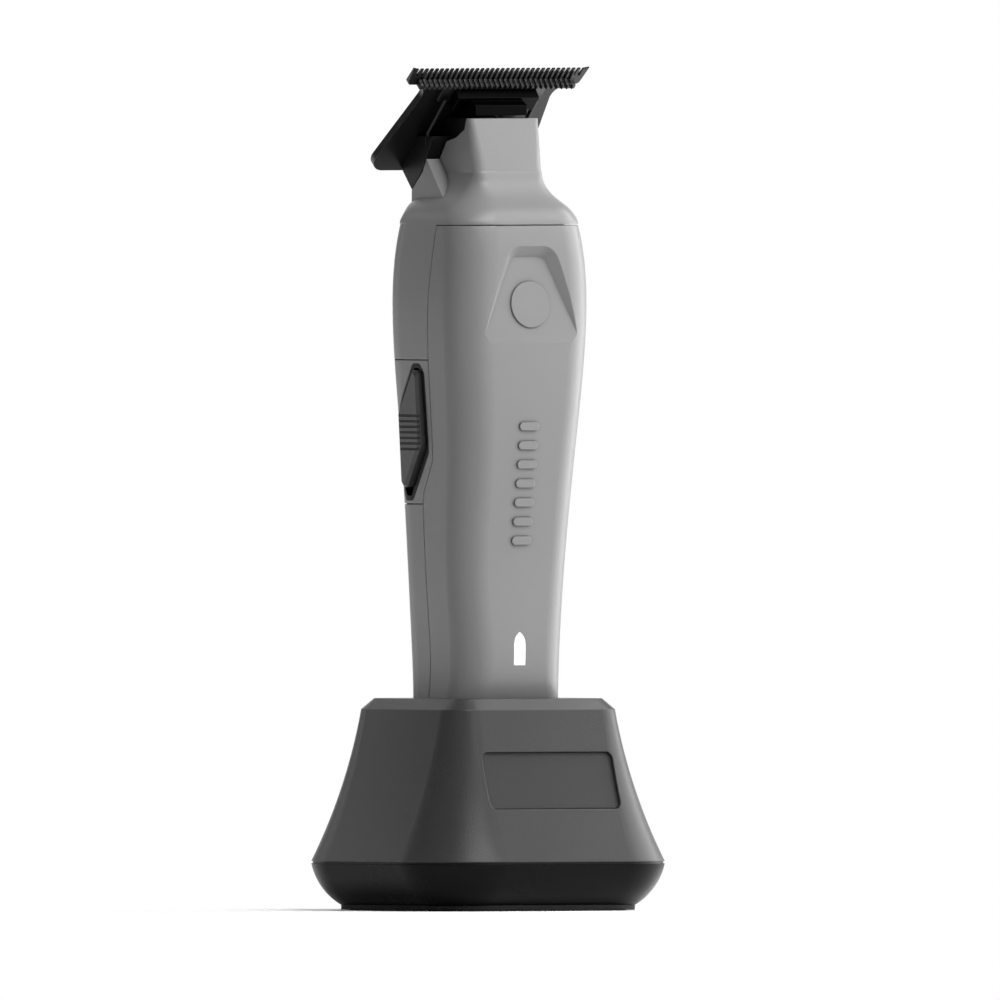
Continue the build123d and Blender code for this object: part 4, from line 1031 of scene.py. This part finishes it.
room = Room(world)
towards = room.node("TexCoord", {}, {}, "Generated")
facing = room.node(
    "VectorMath", {"operation": "DOT_PRODUCT"}, {0: towards, 1: BACKDROP_MIDDLE}, "Value"
)
limits = {"From Min": BACKDROP_EDGE[0], "From Max": BACKDROP_EDGE[1]}
backdrop = room.node("MapRange", {}, {"Value": facing, **limits})
reflected = room.is_ray("Glossy") * backdrop
seen = (room.is_ray("Camera") + room.is_ray("Transmission") + reflected).clamped()
dim = room.node("Background", {}, {"Color": WHITE, "Strength": ROOM_LIGHT})
white = room.node("Background", {}, {"Color": WHITE, "Strength": 1.0})
room.end_in(room.node("MixShader", {}, {0: seen, 1: dim, 2: white}))
print("world: room at", ROOM_LIGHT)

# %% [markdown]
# Light draws the shape. A tall soft box in front fills the covers, and one further round to the
# right models them. Two narrow boxes close by on the right draw the bright strips along the
# edges, two from above light the shoulders and the blade, and a weak one at the left and a wide
# one behind lift the far edges. Area lamps are used, because their width sets how soft a
# reflection ends, and a dark glossy product is seen mostly by its reflections.


# %% Lights
LAMP_AIM = Vector((0, 0, 0.09))
LAMPS = [
    # name, azimuth, elevation, distance, width, height, power
    ("strip_right", 64, 5, 0.12, 0.06, 0.26, 0.1),
    ("rim_right", 86, 5, 0.12, 0.04, 0.26, 0.11),
    ("key_right", 48, 6, 0.7, 0.3, 0.6, 0.75),
    ("front", 8, 6, 0.7, 0.3, 0.6, 0.62),
    ("above_near", -5, 50, 0.38, 0.25, 0.15, 0.55),
    ("above_right", 25, 50, 0.38, 0.25, 0.15, 0.3),
    ("near_left", -150, 5, 0.11, 0.04, 0.22, 0.022),
    ("behind", 152, 35, 0.7, 0.5, 0.5, 0.6),
]


def direction(azimuth, elevation):
    """The way out from the object; azimuth 0 is to its front and 90 to its right."""
    turn, lift = math.radians(azimuth), math.radians(elevation)
    return Vector((
        math.sin(turn) * math.cos(lift), -math.cos(turn) * math.cos(lift), math.sin(lift)
    ))


def softbox(name, azimuth, elevation, distance, width, height, power):
    """A soft light that faces the object and that the camera doesn't see."""
    lamp = bpy.data.lights.new(name, "AREA")
    lamp.shape = "RECTANGLE"
    lamp.size, lamp.size_y = width, height
    lamp.energy = power
    holder = bpy.data.objects.new(name, lamp)
    away = direction(azimuth, elevation)
    holder.location = LAMP_AIM + away * distance
    holder.rotation_euler = (-away).to_track_quat("-Z", "Y").to_euler()
    holder.visible_camera = False
    bpy.context.collection.objects.link(holder)


for lamp in LAMPS:
    softbox(*lamp)
print("lamps:", [lamp[0] for lamp in LAMPS])

# %% [markdown]
# ## Camera
# The view is from the front left and almost level. Verticals stay parallel from top to bottom,
# so the camera is orthographic, like a very long lens.

# %% Camera
CAMERA_AIM = Vector((2.11, -1.48, 88.2)) * MM
CAMERA_AZIMUTH, CAMERA_ELEVATION, CAMERA_DISTANCE = -35.0, 0.5, 1.0
camera_data = bpy.data.cameras.new("camera")
camera_data.type = "ORTHO"
camera_data.ortho_scale = 0.215
camera_data.clip_start = 0.01
camera_data.clip_end = 20.0
camera = bpy.data.objects.new("camera", camera_data)
back = direction(CAMERA_AZIMUTH, CAMERA_ELEVATION)
camera.location = CAMERA_AIM + back * CAMERA_DISTANCE
camera.rotation_euler = (-back).to_track_quat("-Z", "Y").to_euler()
bpy.context.collection.objects.link(camera)
bpy.context.scene.camera = camera
bpy.context.scene.view_settings.view_transform = "Standard"
print("camera sees", round(camera_data.ortho_scale / MM), "mm across")

# %% [markdown]
# ## Size
# The box round everything that renders, the floor left out, is worked out at the end.

# %% Sizes
low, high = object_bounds()
